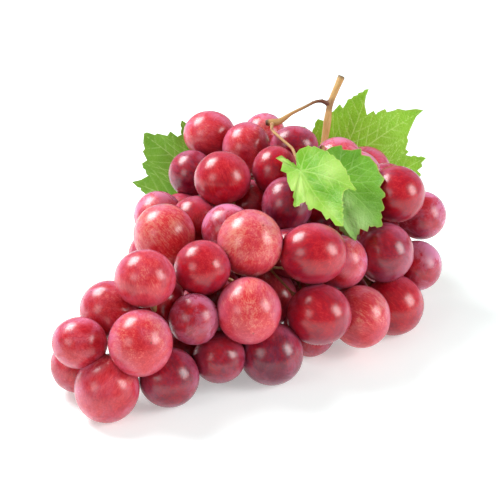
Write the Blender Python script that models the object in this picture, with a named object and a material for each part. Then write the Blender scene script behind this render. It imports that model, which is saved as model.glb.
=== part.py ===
# Bunch of red table grapes lying on its side, with its cut stalk and four vine leaves.
# World units are metres, +Z up. The layout is worked out in millimetres and scaled when meshes are made.

import heapq
import math

import bmesh
import bpy
import numpy as np

MM = 0.001
FAR = 99.0

# Viewpoint that the seen grapes and leaves were measured from, in mm and degrees.
# "across" and "up" are measured on a plane through the look-at point, square to the line of sight.
# "toward" is the distance in front of that plane.
EYE_DISTANCE = 450.0
EYE_ELEVATION = math.radians(26.0)
LOOK_HEIGHT = 37.0

# Middle of the footprint, which becomes the origin.
CENTRE_X = 4.4
CENTRE_Y = 6.8

# Grapes
HIDDEN_DIAMETER = 22.8
HIDDEN_SHRINK = 0.9
HIDDEN_GROW = 0.7
HIDDEN_SPACING = 9.0
HIDDEN_SEED = 4
HIDDEN_CROWDING = 0.85
SEAM = 3.5
MOSTLY_HIDDEN = 0.8
USUAL_RADIUS = 12.1
LAYER_DEPTH = 16.0
PRESS = 0.94
LOOSEST_CONTACT = 0.3
FLAT_DEPTH = 0.35
SAG_BELOW = 7.0
GRAPE_SIDES = 10
GRAPE_RINGS = 6
GRAPE_TURN = 0.7
FACET_GROWTH = 1.025
SHELLS = (1.0, 0.5, 0.2)

# How strongly each rule moves a grape in one step of the settling
SEEN_STEP = 0.45
HIDDEN_STEP = 0.35
CLING = 0.07
CLINGS_TO = 4
LIFT = 1.6
SAG = 0.5
STEM_ROOM = 2.7
STEM_PUSH = 0.8
HOMING = 0.01
BIG_ONES_NEARER = 0.02

# Stems, radii in mm
STALK_RADIUS = 1.5
STALK_SWELLING = ((0, 0.04, 0.1, 0.14, 0.2, 1), (1.9, 1.5, 1.4, 1.9, 1.5, 1.0))
SHOOT_SWELLING = ((0, 0.12, 0.55, 0.72, 0.87, 1), (1.2, 0.85, 0.75, 0.95, 1.45, 1.0))
RACHIS_RADIUS = 1.7
RACHIS_REACH = (50, -62)
PEDICEL_RADIUS = 0.75
PEDICEL_FLARE = 1.3
COLLAR_LENGTH = 1.2
STEM_GAP = 0.4
THINNEST_STEM = 0.45
THIN_OUT = 0.15

# The grid on which the ways of the small stalks are searched for
GRID = 1.75
GRID_REACH = 1.35
NARROW = 2.5
NARROW_TOLL = 2.0
AT_GRAPE = 2.6
NOWHERE = 1e9

# Leaves
BLADE_THICKNESS = 0.8
BLADE_CLEARANCE = 1.8
BLADE_RINGS = (0.34, 0.68, 1.0)
BLADE_EASING = 4
PETIOLE_RADIUS = 0.9
CREASE = math.radians(50.0)

# The seen grapes: across, up, width, height in mm, and how many layers behind the front skin.
SEEN_GRAPES = (
    (-17.0, 48.5, 22.0, 20.0, 0),
    (-1.5, 43.0, 20.5, 21.5, 0),
    (6.0, 48.5, 18.0, 18.0, 1),
    (18.5, 44.0, 20.5, 16.5, 0),
    (-24.5, 32.0, 19.5, 20.0, 0.4),
    (-11.5, 30.0, 24.0, 23.0, 0),
    (10.5, 33.5, 19.5, 20.5, 0),
    (15.5, 19.0, 21.5, 23.5, 0.4),
    (28.0, 19.5, 21.0, 21.0, 1),
    (-38.5, 14.5, 20.5, 20.5, 1),
    (-36.0, 6.5, 26.0, 26.0, 0),
    (-23.0, 12.0, 21.0, 21.5, 0.6),
    (-9.5, 8.5, 22.0, 22.0, 0.6),
    (0.0, 3.0, 28.0, 28.5, 0),
    (26.5, -1.5, 29.0, 26.0, 0),
    (38.0, -5.0, 23.0, 23.0, 1),
    (56.5, -1.0, 24.5, 25.5, 0),
    (61.5, 23.5, 24.0, 24.0, 0),
    (57.0, 26.5, 20.5, 20.5, 1),
    (72.0, 14.5, 20.5, 20.5, 0),
    (70.0, -6.5, 21.0, 21.0, 0),
    (60.0, -23.0, 26.0, 26.0, 0.3),
    (46.5, -28.0, 25.0, 26.5, 0),
    (29.0, -27.0, 27.5, 26.0, 0),
    (25.0, -33.5, 22.5, 22.5, 2),
    (-0.5, -25.5, 27.5, 28.5, 0),
    (9.0, -43.5, 27.0, 27.0, 0),
    (-13.0, -45.0, 22.5, 22.0, 0),
    (-34.0, -53.5, 25.5, 25.5, 0),
    (-46.0, -39.0, 27.5, 28.5, 0),
    (-60.0, -58.0, 27.5, 29.0, 0),
    (-71.5, -39.0, 23.5, 22.0, 0),
    (-72.0, -48.0, 23.5, 24.0, 1),
    (-59.0, -25.0, 25.0, 24.5, 0),
    (-44.0, -12.0, 26.0, 24.5, 0),
    (-20.0, -7.5, 24.0, 23.5, 0),
    (-23.5, -29.0, 21.5, 22.0, 0),
    (-38.0, -21.0, 21.0, 21.0, 1),
    (-27.0, -43.0, 21.0, 21.0, 2),
    (37.0, 37.0, 21.0, 21.0, 0.4),
    (44.5, 31.5, 21.0, 21.0, 0.4),
    (48.5, 4.0, 21.0, 21.0, 1),
)

# The heap's shape along its own axis, which runs level at 45 degrees from the tip at the left front
# to the shoulder at the right back: along, half width, top, and sideways shift, in mm.
HEAP = (
    (-95, 1, 14, 0),
    (-88, 10, 17, 0),
    (-55, 25, 38, -6),
    (-10, 46, 60, -8),
    (40, 49, 66, -8),
    (75, 34, 50, -3),
    (92, 14, 28, 5),
    (98, 1, 16, 5),
)
HEAP_FLOOR = 12.0
HEAP_ROUNDNESS = 2.4

# Where the front leaves hide grapes: across, up and the two half widths of an oval.
LEAF_SHADE = (34.0, 26.0, 20.0, 19.0)
LEAF_SHADE_DEPTH = -12.0

# Routes of the stems that the eye sees: across, up, toward.
STALK_ROUTE = (
    (38.5, 73.0, -45),
    (35.5, 66.0, -45),
    (33.5, 61.5, -45),
    (32.5, 54.0, -46),
    (31.5, 46.5, -47),
    (30.0, 41.0, -48),
)
SHOOT_ROUTE = (
    (33.5, 61.0, -45),
    (30.0, 63.0, -45),
    (27.5, 62.5, -45),
    (23.0, 60.0, -44),
    (17.5, 57.5, -43),
    (12.0, 53.5, -42),
    (6.5, 53.5, -41),
)

# The leaves: outlines in the picture plane as across and up in mm, round from the notch at the leaf stalk.
# "depth" is how far toward the eye the junction of the veins lies, "tilt" how that changes across and up,
# "cup" how the blade bends away with the square of the distance from the junction.
LEAVES = {
    "leaf_back_right": dict(
        colour=(0.27, 0.50, 0.05),
        front=False,
        junction=(27.5, 22.5),
        depth=-80.0,
        tilt=(0.05, 0.5),
        cup=0.003,
        outline=(
            (25.4, 20.4), (22.0, 8.0), (30.0, 8.0), (36.0, 11.5), (44.0, 7.5), (48.0, 13.0), (60.0, 12.0),
            (62.0, 24.0), (71.8, 31.9), (70.3, 33.4), (72.5, 35.1), (72.0, 36.6), (74.0, 38.6), (68.0, 39.3),
            (65.4, 39.9), (66.7, 41.3), (65.4, 42.4), (66.5, 45.9), (66.0, 47.3), (67.3, 50.6), (68.6, 53.6),
            (69.9, 56.1), (72.9, 58.8), (69.5, 59.3), (65.4, 58.7), (60.9, 58.8), (57.5, 57.9), (56.8, 59.3),
            (53.0, 56.7), (51.9, 58.5), (49.1, 56.8), (48.2, 61.1), (48.7, 64.5), (50.0, 67.7), (45.2, 65.1),
            (40.8, 62.4), (39.0, 59.6), (37.7, 61.3), (35.0, 58.3), (31.1, 54.2), (28.5, 55.1), (26.4, 49.3),
            (23.0, 51.8), (16.0, 50.0), (15.0, 40.0), (8.0, 32.0), (12.0, 24.0), (16.0, 14.0),
        ),
        host="stalk",
        petiole=(
            (27.5, 22.5, -80), (27.0, 24.0, -77), (28.0, 34.0, -70), (30.0, 44.0, -60), (31.8, 50.0, -52),
        ),
    ),
    "leaf_back_left": dict(
        colour=(0.25, 0.45, 0.06),
        front=False,
        junction=(-15.5, 20.0),
        depth=-70.0,
        tilt=(0.0, 0.5),
        cup=0.003,
        outline=(
            (-13.4, 17.9), (-7.0, 14.0), (-2.0, 20.0), (-3.0, 28.0), (1.0, 36.0), (-6.0, 42.0), (-10.0, 50.0),
            (-20.0, 51.0), (-26.8, 53.3), (-28.7, 54.6), (-28.6, 48.6), (-29.7, 48.1), (-30.4, 47.6),
            (-33.5, 49.9), (-34.7, 48.0), (-38.9, 49.0), (-40.0, 48.4), (-44.6, 49.0), (-44.9, 44.9),
            (-44.2, 42.5), (-45.1, 41.4), (-43.3, 37.7), (-45.4, 36.4), (-42.6, 31.3), (-45.8, 29.5),
            (-49.7, 28.6), (-45.8, 26.2), (-46.0, 25.1), (-44.1, 23.7), (-38.0, 17.0), (-40.0, 11.0),
            (-30.0, 9.0), (-24.0, 6.0), (-17.0, 9.0),
        ),
        host=None,
        petiole=((-15.5, 20.0, -70), (-14.0, 17.0, -72), (-11.0, 12.0, -76), (-6.0, 8.0, -78)),
    ),
    "leaf_front_upper": dict(
        colour=(0.33, 0.58, 0.16),
        front=True,
        junction=(21.3, 33.3),
        depth=10.5,
        tilt=(0.15, -0.8),
        cup=-0.004,
        outline=(
            (19.6, 35.2), (12.5, 39.5), (10.8, 38.6), (13.8, 36.8), (12.9, 33.3), (15.4, 32.3), (15.7, 28.8),
            (17.4, 24.8), (18.5, 24.8), (18.8, 18.0), (23.4, 21.1), (25.3, 16.6), (26.8, 17.7), (30.0, 16.1),
            (32.1, 12.6), (33.6, 13.5), (35.9, 10.3), (39.0, 9.8), (38.7, 15.6), (38.7, 20.8), (39.4, 24.6),
            (41.1, 25.7), (39.8, 26.8), (44.8, 25.3), (42.2, 28.8), (39.4, 34.7), (36.3, 38.2), (31.4, 41.7),
            (28.6, 42.9), (23.7, 43.4), (20.9, 42.4), (19.2, 40.3), (19.5, 36.5),
        ),
        host="shoot",
        petiole=(
            (21.3, 33.3, 10), (20.6, 36.0, 6), (18.3, 42.1, -4), (14.0, 45.1, -10), (10.6, 48.3, -18),
            (9.4, 51.0, -40),
        ),
    ),
    "leaf_front_lower": dict(
        colour=(0.16, 0.36, 0.06),
        front=True,
        junction=(35.5, 29.5),
        depth=1.0,
        tilt=(-0.15, -0.5),
        cup=-0.003,
        outline=(
            (33.4, 31.4), (31.0, 36.5), (31.4, 41.5), (34.2, 43.3), (38.5, 44.1), (39.0, 42.2), (42.9, 42.0),
            (46.7, 42.7), (46.9, 40.0), (51.2, 38.2), (53.3, 35.8), (54.4, 32.6), (56.6, 29.8), (54.5, 26.4),
            (56.8, 22.5), (55.2, 21.3), (56.1, 16.6), (54.9, 16.1), (55.2, 9.8), (50.2, 10.3), (49.3, 7.7),
            (46.2, 9.0), (43.7, 3.4), (39.7, 6.9), (37.6, 8.4), (38.5, 15.0), (37.0, 21.0), (34.5, 26.0),
        ),
        host="stalk",
        petiole=(
            (35.5, 29.5, 1), (34.5, 33.0, -4), (33.0, 37.0, -16), (31.5, 39.5, -32), (30.8, 41.0, -44),
        ),
    ),
}

SIGHT_UP = np.array([0.0, math.sin(EYE_ELEVATION), math.cos(EYE_ELEVATION)])
SIGHT_TOWARD = np.array([0.0, -math.cos(EYE_ELEVATION), math.sin(EYE_ELEVATION)])
SIGHT_ACROSS = np.array([1.0, 0.0, 0.0])
LOOK_AT = np.array([0.0, 0.0, LOOK_HEIGHT])
ALONG = np.array([1.0, 1.0, 0.0]) / math.sqrt(2)
SIDEWAYS = np.array([1.0, -1.0, 0.0]) / math.sqrt(2)
UPRIGHT = np.array([0.0, 0.0, 1.0])


def from_picture(across, up, toward):
    """Points in space for places in the picture plane and their distance in front of it."""
    across, up, toward = np.broadcast_arrays(across, up, toward)
    nearness = (EYE_DISTANCE - toward) / EYE_DISTANCE
    return (
        (across * nearness)[..., None] * SIGHT_ACROSS
        + (up * nearness)[..., None] * SIGHT_UP
        + (toward * 1.0)[..., None] * SIGHT_TOWARD
        + LOOK_AT
    )


def to_picture(points):
    offset = points - LOOK_AT
    toward = offset @ SIGHT_TOWARD
    nearness = (EYE_DISTANCE - toward) / EYE_DISTANCE
    return offset @ SIGHT_ACROSS / nearness, offset @ SIGHT_UP / nearness, toward


def route(points):
    return from_picture(*np.array(points, float).T)


def resample(points, step):
    """Points every step along a polyline."""
    lengths = np.linalg.norm(np.diff(points, axis=0), axis=1)
    reach = np.concatenate([[0.0], np.cumsum(lengths)])
    count = max(2, int(round(reach[-1] / step)) + 1)
    at = np.linspace(0, reach[-1], count)
    return np.stack([np.interp(at, reach, points[:, axis]) for axis in range(3)], axis=1)


def heap_section(along):
    """Half width, top and sideways shift of the heap at a place along its axis."""
    table = np.array(HEAP, float).T
    return [np.interp(along, table[0], row) for row in table[1:]]


def heap_depth(points):
    """Below 1 inside the heap of grape centres, above 1 outside it."""
    along = points @ ALONG
    half_width, top, shift = heap_section(along)
    middle = (top + HEAP_FLOOR) / 2
    half_height = (top - HEAP_FLOOR) / 2 + 2
    across = np.abs((points @ SIDEWAYS - shift) / half_width)
    height = np.abs((points[..., 2] - middle) / half_height)
    outside = np.where((along < HEAP[0][0]) | (along > HEAP[-1][0]), 50.0, 0.0)
    return across**HEAP_ROUNDNESS + height**HEAP_ROUNDNESS + outside


def rachis_line():
    """The main stem's route inside the bunch, from its shoulder to its tip."""
    along = np.linspace(*RACHIS_REACH, 30)
    half_width, top, shift = heap_section(along)
    height = (top + HEAP_FLOOR) / 2
    return along[:, None] * ALONG + shift[:, None] * SIDEWAYS + height[:, None] * UPRIGHT


def skin_targets(table):
    """How far toward the eye each seen grape wants to be: on the heap's skin, or layers behind it."""
    steps = np.arange(90.0, -120.0, -1.0)
    depth = heap_depth(from_picture(table[:, :1], table[:, 1:2], steps[None]))
    inside = depth <= 1
    pick = np.where(inside.any(1), inside.argmax(1), depth.argmin(1))
    return steps[pick] - LAYER_DEPTH * table[:, 4]


def loose_links(overlap):
    """The nearest pair between each group of grapes that stands apart and the rest."""
    touching = overlap > -LOOSEST_CONTACT
    group = np.arange(len(overlap))
    while True:
        joined = np.where(touching, group[None], group[:, None]).min(1)
        if (joined == group).all():
            break
        group = joined
    main_group = np.bincount(group).argmax()
    for label in set(group) - {main_group}:
        members = np.flatnonzero(group == label)
        others = np.flatnonzero(group != label)
        gap = overlap[np.ix_(members, others)]
        row, column = np.unravel_index(gap.argmax(), gap.shape)
        yield members[row], others[column]


class Heap:
    """Grape centres and radii in mm, seen ones first."""

    def __init__(self, stems):
        self.table = np.array(SEEN_GRAPES)
        self.stems = stems
        self.wanted = skin_targets(self.table)
        self.toward = self.wanted.copy()
        self.hidden = np.zeros((0, 3))
        self.hidden_radius = np.zeros(0)

    def grapes(self):
        nearness = (EYE_DISTANCE - self.toward) / EYE_DISTANCE
        seen = from_picture(self.table[:, 0], self.table[:, 1], self.toward)
        radius = self.table[:, 2:4].min(1) / 2 * nearness
        return np.vstack([seen, self.hidden]), np.concatenate([radius, self.hidden_radius])

    def semi_axes(self):
        """Each grape's radii across, up and toward the eye."""
        nearness = (EYE_DISTANCE - self.toward) / EYE_DISTANCE
        seen = self.table[:, 2:4] / 2 * nearness[:, None]
        seen = np.column_stack([seen, seen.mean(1)])
        return np.vstack([seen, np.repeat(self.hidden_radius[:, None], 3, 1)])

    def settle(self, steps):
        """Seen grapes slide along their lines of sight and hidden ones move freely till all touch."""
        count = len(self.table)
        off_axis = self.table[:, :1] * SIGHT_ACROSS + self.table[:, 1:2] * SIGHT_UP
        sight = SIGHT_TOWARD - off_axis / EYE_DISTANCE
        rows = np.arange(count + len(self.hidden))
        for _ in range(steps):
            centre, radius = self.grapes()
            apart = centre[:, None] - centre[None]
            distance = np.linalg.norm(apart, axis=2) + np.eye(len(centre)) * FAR
            overlap = PRESS * (radius[:, None] + radius[None]) - distance
            nearest = np.zeros(overlap.shape, bool)
            nearest[rows[:, None], np.argsort(-overlap, axis=1)[:, :CLINGS_TO]] = True
            pull = np.where(nearest & (overlap < 0), np.clip(overlap, -4, 0), 0) * CLING
            for one, other in loose_links(overlap):
                pull[one, other] = pull[other, one] = overlap[one, other] - 1.0
            force = ((np.clip(overlap, 0, None) + pull) / distance)[:, :, None] * apart
            push = force.sum(1)
            above = centre[:, 2] - (radius - FLAT_DEPTH)
            push[:, 2] += np.clip(-above, 0, None) * LIFT
            push[count:, 2] -= np.where(above[count:] < SAG_BELOW, np.clip(above[count:], 0, 1), 0) * SAG
            to_stem = centre[:, None] - self.stems[None]
            reach = np.linalg.norm(to_stem, axis=2)
            closest = reach.argmin(1)
            short = np.clip(radius + STEM_ROOM - reach[rows, closest], 0, None) / reach[rows, closest]
            push += short[:, None] * to_stem[rows, closest] * STEM_PUSH
            self.toward = (
                self.toward
                + (push[:count] * sight).sum(1) * SEEN_STEP
                + (self.wanted - self.toward) * HOMING
                + (radius[:count] - USUAL_RADIUS) * BIG_ONES_NEARER
            )
            self.hidden = self.hidden + push[count:] * HIDDEN_STEP

    def out_of_sight(self, point, radius):
        """True where a grape would lie wholly behind seen grapes or the front leaves."""
        across, up, toward = to_picture(point[None])
        rim = radius * EYE_DISTANCE / (EYE_DISTANCE - toward[0]) * 0.93
        turn = np.linspace(0, 2 * math.pi, 16, endpoint=False)
        rim_across = across[0] + rim * np.cos(turn)
        rim_up = up[0] + rim * np.sin(turn)
        gap = np.hypot(
            rim_across[:, None] - self.table[:, 0],
            rim_up[:, None] - self.table[:, 1],
        )
        size = self.table[:, 2:4].sum(1) / 4
        nearer = self.toward > toward[0]
        behind_grape = (nearer & (gap < size)).any(1)
        beside_grape = (nearer & (gap < size + SEAM)).any(1)
        leaf_across, leaf_up, half_width, half_height = LEAF_SHADE
        in_shade = np.hypot((rim_across - leaf_across) / half_width, (rim_up - leaf_up) / half_height) < 1
        behind_leaf = in_shade & (toward[0] < LEAF_SHADE_DEPTH)
        hidden = behind_grape | behind_leaf
        return hidden.mean() > MOSTLY_HIDDEN and (hidden | beside_grape).all()

    def fill(self):
        """Grapes on the heap's hidden skin, then inside it, wherever there is room."""
        draw = np.random.default_rng(HIDDEN_SEED)
        half_size = HIDDEN_DIAMETER / 2
        turn = 0
        for shell in SHELLS:
            for along in np.arange(-84, 94, HIDDEN_SPACING):
                half_width, top, shift = heap_section(along)
                half_height = (top - HEAP_FLOOR) / 2 * shell
                half_width = half_width * shell
                girth = 2 * math.pi * math.hypot(half_width, half_height) / math.sqrt(2)
                count = max(3, round(girth / HIDDEN_SPACING))
                turn += 1
                for place in range(count):
                    angle = 2 * math.pi * place / count + turn * 2.4
                    side = math.copysign(abs(math.cos(angle)) ** 0.83, math.cos(angle))
                    rise = math.copysign(abs(math.sin(angle)) ** 0.83, math.sin(angle))
                    height = max(half_size, (top + HEAP_FLOOR) / 2 + half_height * rise)
                    point = along * ALONG + (shift + half_width * side) * SIDEWAYS + height * UPRIGHT
                    self.add(point, half_size + draw.uniform(-HIDDEN_SHRINK, HIDDEN_GROW))

    def add(self, point, radius):
        centre, other = self.grapes()
        if (np.linalg.norm(centre - point, axis=1) < HIDDEN_CROWDING * (other + radius)).any():
            return
        if np.linalg.norm(self.stems - point, axis=1).min() < radius + 1.5:
            return
        if self.out_of_sight(point, radius):
            self.hidden = np.vstack([self.hidden, point])
            self.hidden_radius = np.append(self.hidden_radius, radius)


def thin_out(points, tolerance):
    """The fewest points of a line that stay within the tolerance of it."""
    if len(points) < 3:
        return points
    chord = points[-1] - points[0]
    share = np.clip((points - points[0]) @ chord / (chord @ chord), 0, 1)
    off = np.linalg.norm(points - points[0] - share[:, None] * chord, axis=1)
    worst = int(off.argmax())
    if off[worst] < tolerance:
        return points[[0, -1]]
    return np.vstack([thin_out(points[:worst + 1], tolerance)[:-1], thin_out(points[worst:], tolerance)])


def room(points, centre, radius):
    """Distance from each point to the nearest grape."""
    return (np.linalg.norm(points[:, None] - centre[None], axis=2) - radius).min(1)


def fit_radii(points, radii, centre, radius):
    """Stem radii, thinner where the gap between the grapes is narrow."""
    space = np.clip(room(points, centre, radius) - STEM_GAP, THINNEST_STEM, None)
    return np.minimum(radii, space)


def ease_clear(points, centre, radius, clearance, passes, pinned=1):
    """Bends a line clear of the grapes and keeps it smooth, with its ends held."""
    points = points.copy()
    inner = slice(pinned, -1)
    for _ in range(passes):
        points[inner] += (points[pinned - 1:-2] + points[pinned + 1:] - 2 * points[inner]) * 0.15
        away = points[:, None] - centre[None]
        reach = np.linalg.norm(away, axis=2)
        short = np.clip(radius + clearance - reach, 0, None) / reach
        move = (short[:, :, None] * away).sum(1)
        points[inner] += move[inner] * 0.6
    return points


def stem_ways(trunk, centre, radius):
    """Shortest ways through the gaps from the main stem to every grape, as a tree of polylines."""
    low = (centre - radius[:, None]).min(0) - GRID
    high = (centre + radius[:, None]).max(0) + GRID
    low[2] = GRID
    shape = np.ceil((high - low) / GRID).astype(int) + 1
    axes = [low[axis] + GRID * np.arange(shape[axis]) for axis in range(3)]
    space = np.stack(np.meshgrid(*axes, indexing="ij"), axis=-1)
    clearance = np.full(shape, FAR)
    for middle, size in zip(centre, radius):
        clearance = np.minimum(clearance, np.linalg.norm(space - middle, axis=-1) - size)
    open_cell = (clearance > PEDICEL_RADIUS + STEM_GAP) & (heap_depth(space) < GRID_REACH)
    toll = 1 + NARROW_TOLL * np.clip(NARROW - clearance, 0, None)
    steps = [
        (i, j, k)
        for i in (-1, 0, 1)
        for j in (-1, 0, 1)
        for k in (-1, 0, 1)
        if (i, j, k) != (0, 0, 0)
    ]
    cost = {}
    came = {}
    queue = []
    for point in trunk:
        cell = tuple(np.round((point - low) / GRID).astype(int))
        if cell not in cost:
            cost[cell] = 0.0
            came[cell] = None
            heapq.heappush(queue, (0.0, cell))
    while queue:
        spent, cell = heapq.heappop(queue)
        if spent > cost[cell]:
            continue
        for step in steps:
            after = (cell[0] + step[0], cell[1] + step[1], cell[2] + step[2])
            if min(after) < 0 or after[0] >= shape[0] or after[1] >= shape[1] or after[2] >= shape[2]:
                continue
            if not open_cell[after]:
                continue
            total = spent + math.sqrt(step[0] ** 2 + step[1] ** 2 + step[2] ** 2) * toll[after]
            if total < cost.get(after, NOWHERE):
                cost[after] = total
                came[after] = cell
                heapq.heappush(queue, (total, after))
    reached = np.array(list(cost))
    spent = np.array(list(cost.values()))
    places = low + reached * GRID
    used = set()
    ways = []
    order = []
    for index, (middle, size) in enumerate(zip(centre, radius)):
        away = np.linalg.norm(places - middle, axis=1) - size
        near = np.where(away < AT_GRAPE, spent, NOWHERE)
        order.append((near.min(), index, tuple(reached[near.argmin()])))
    for total, index, cell in sorted(order):
        if total == NOWHERE:
            continue
        way = [cell]
        while came[cell] is not None and (cell not in used or len(way) < 3):
            cell = came[cell]
            way.append(cell)
        used.update(way)
        ways.append((index, low + np.array(way) * GRID))
    return ways


def finish_ways(trunk, ways, centre, radius):
    """Pedicels from just off their grapes to the stems they grow from, with the grid's corners eased."""
    grown = resample(trunk, 1.0)
    lines = []
    for index, way in ways:
        outward = (way[0] - centre[index]) / np.linalg.norm(way[0] - centre[index])
        start = centre[index] + outward * (radius[index] + STEM_GAP)
        collar = start + outward * COLLAR_LENGTH
        end = grown[np.linalg.norm(grown - way[-1], axis=1).argmin()]
        line = np.vstack([start, resample(np.vstack([collar, way[1:-1], end]), 2.0)])
        line = ease_clear(line, centre, radius, PEDICEL_RADIUS + STEM_GAP, 100, 2)
        grown = np.vstack([grown, resample(line, 1.0)])
        lines.append(line)
    return lines


def to_world(points):
    """Millimetres of the layout to metres about the origin."""
    return (np.asarray(points) - np.array([CENTRE_X, CENTRE_Y, 0.0])) * MM


def material(name, colour, roughness):
    shade = bpy.data.materials.new(name)
    shade.use_nodes = True
    shader = shade.node_tree.nodes["Principled BSDF"]
    shader.inputs["Base Color"].default_value = (*colour, 1.0)
    shader.inputs["Roughness"].default_value = roughness
    shader.inputs["Metallic"].default_value = 0.0
    shade.diffuse_color = (*colour, 1.0)
    return shade


def collection(name):
    group = bpy.data.collections.new(name)
    bpy.context.scene.collection.children.link(group)
    return group


def add_object(name, mesh, group, shade=None):
    piece = bpy.data.objects.new(name, mesh)
    group.objects.link(piece)
    if shade:
        mesh.materials.clear()
        mesh.materials.append(shade)
    return piece


def remove_objects(pieces):
    for piece in list(pieces):
        bpy.data.objects.remove(piece, do_unlink=True)


def apply_modifiers(piece):
    graph = bpy.context.evaluated_depsgraph_get()
    mesh = bpy.data.meshes.new_from_object(piece.evaluated_get(graph))
    piece.modifiers.clear()
    piece.data = mesh


def keep_main_body(mesh):
    """Drops the walls of sealed hollows and loose scraps, and returns how many there were."""
    work = bmesh.new()
    work.from_mesh(mesh)
    seen = set()
    bodies = []
    for start in work.verts:
        if start in seen:
            continue
        body = {start}
        stack = [start]
        while stack:
            for edge in stack.pop().link_edges:
                for vert in edge.verts:
                    if vert not in body:
                        body.add(vert)
                        stack.append(vert)
        seen |= body
        bodies.append(body)
    bodies.sort(key=len)
    bmesh.ops.delete(work, geom=[vert for body in bodies[:-1] for vert in body], context="VERTS")
    bmesh.ops.triangulate(work, faces=work.faces)
    work.to_mesh(mesh)
    work.free()
    return len(bodies) - 1


def unite(name, pieces, group, shade, cutter=None):
    """One Boolean union on a collection, applied, with the collection's objects removed."""
    first, rest = pieces[0], pieces[1:]
    others = collection(name + "_pieces")
    for piece in rest:
        group.objects.unlink(piece)
        others.objects.link(piece)
    first.name = name
    join = first.modifiers.new("join", "BOOLEAN")
    join.operation = "UNION"
    join.operand_type = "COLLECTION"
    join.collection = others
    join.solver = "MANIFOLD"
    if cutter:
        trim = first.modifiers.new("trim", "BOOLEAN")
        trim.operation = "DIFFERENCE"
        trim.object = cutter
        trim.solver = "MANIFOLD"
    apply_modifiers(first)
    remove_objects(others.objects)
    bpy.data.collections.remove(others)
    dropped = keep_main_body(first.data)
    first.data.name = name
    first.data.materials.clear()
    first.data.materials.append(shade)
    first.data.shade_smooth()
    first.data.set_sharp_from_angle(angle=CREASE)
    print(name, len(first.data.polygons), "triangles,", dropped, "loose bodies dropped")
    return first


def grape_mesh(semi_axes, frame, centre, tilt):
    """A faceted ellipsoid with its own axes, grown a little so that its facets keep its volume."""
    work = bmesh.new()
    bmesh.ops.create_uvsphere(work, u_segments=GRAPE_SIDES, v_segments=GRAPE_RINGS, radius=1.0)
    turn = np.array([[math.cos(tilt), -math.sin(tilt), 0], [math.sin(tilt), math.cos(tilt), 0], [0, 0, 1]])
    for vert in work.verts:
        local = turn @ np.array(vert.co) * semi_axes * FACET_GROWTH
        vert.co = to_world(centre + local @ frame)
    if np.linalg.det(frame) < 0:
        bmesh.ops.reverse_faces(work, faces=work.faces)
    mesh = bpy.data.meshes.new("grape")
    work.to_mesh(mesh)
    work.free()
    return mesh


def make_berries(heap, group, cutters):
    shade = material("grape_skin", (0.45, 0.05, 0.07), 0.3)
    centre = heap.grapes()[0]
    frame = np.stack([SIGHT_ACROSS, SIGHT_UP, SIGHT_TOWARD])
    pieces = []
    for index, semi_axes in enumerate(heap.semi_axes()):
        mesh = grape_mesh(semi_axes, frame, centre[index], index * GRAPE_TURN)
        pieces.append(add_object("grape", mesh, group))
    floor = bmesh.new()
    bmesh.ops.create_cube(floor, size=1.0)
    for vert in floor.verts:
        vert.co = (vert.co[0] * 0.4, vert.co[1] * 0.4, (vert.co[2] - 0.5) * 0.02)
    mesh = bpy.data.meshes.new("surface")
    floor.to_mesh(mesh)
    floor.free()
    cutter = add_object("surface", mesh, cutters)
    cutter.hide_render = True
    cutter.display_type = "WIRE"
    return unite("berries", pieces, group, shade, cutter)


def tube(points, radii, group, smoothness=0):
    """A closed tube through points in mm, with a radius at each."""
    curve = bpy.data.curves.new("tube", "CURVE")
    curve.dimensions = "3D"
    curve.bevel_depth = MM
    curve.bevel_resolution = smoothness
    curve.use_fill_caps = True
    spline = curve.splines.new("POLY")
    spline.points.add(len(points) - 1)
    for point, place, radius in zip(spline.points, to_world(points), radii):
        point.co = (*place, 1.0)
        point.radius = radius
    source = add_object("tube", curve, group)
    graph = bpy.context.evaluated_depsgraph_get()
    mesh = bpy.data.meshes.new_from_object(source.evaluated_get(graph))
    bpy.data.objects.remove(source, do_unlink=True)
    work = bmesh.new()
    work.from_mesh(mesh)
    bmesh.ops.remove_doubles(work, verts=work.verts, dist=0.00001)
    bmesh.ops.recalc_face_normals(work, faces=work.faces)
    work.to_mesh(mesh)
    work.free()
    return add_object("tube", mesh, group)


def make_stem(trunk, shoot, pedicels, centre, radius, group):
    shade = material("stem_bark", (0.42, 0.26, 0.08), 0.6)
    pieces = []
    spots = resample(trunk, 4.0)
    share = np.linspace(0, 1, len(spots))
    trunk_radii = np.interp(share, *STALK_SWELLING)
    pieces.append(tube(spots, fit_radii(spots, trunk_radii, centre, radius), group, 1))
    spots = resample(shoot, 4.0)
    share = np.linspace(0, 1, len(spots))
    shoot_radii = np.interp(share, *SHOOT_SWELLING)
    pieces.append(tube(spots, fit_radii(spots, shoot_radii, centre, radius), group, 1))
    for line in pedicels:
        line = thin_out(line, THIN_OUT)
        widths = fit_radii(line, np.full(len(line), PEDICEL_RADIUS), centre, radius)
        beside = np.sort(np.linalg.norm(centre - line[0], axis=1) - radius)[1]
        widths[0] = np.clip(beside - STEM_GAP, THINNEST_STEM, PEDICEL_FLARE)
        pieces.append(tube(line, widths, group))
    return unite("stem", pieces, group, shade)


def lean(spots, depth, centre, radius, front):
    """Lifts a sheet at the front, or pushes one at the back, clear of every grape on the line of sight."""
    across, up, toward = to_picture(centre)
    nearness = (EYE_DISTANCE - toward) / EYE_DISTANCE
    offset = np.linalg.norm(spots[..., None, :] - np.stack([across, up], axis=1), axis=-1) * nearness
    reach = radius + BLADE_CLEARANCE
    bulge = np.sqrt(np.clip(reach**2 - offset**2, 0, None))
    if front:
        surface = np.where(offset < reach, toward + bulge, -1e3).max(-1)
        return np.maximum(depth, surface)
    surface = np.where(offset < reach, toward - bulge, 1e3).min(-1)
    return np.minimum(depth, surface)


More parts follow.
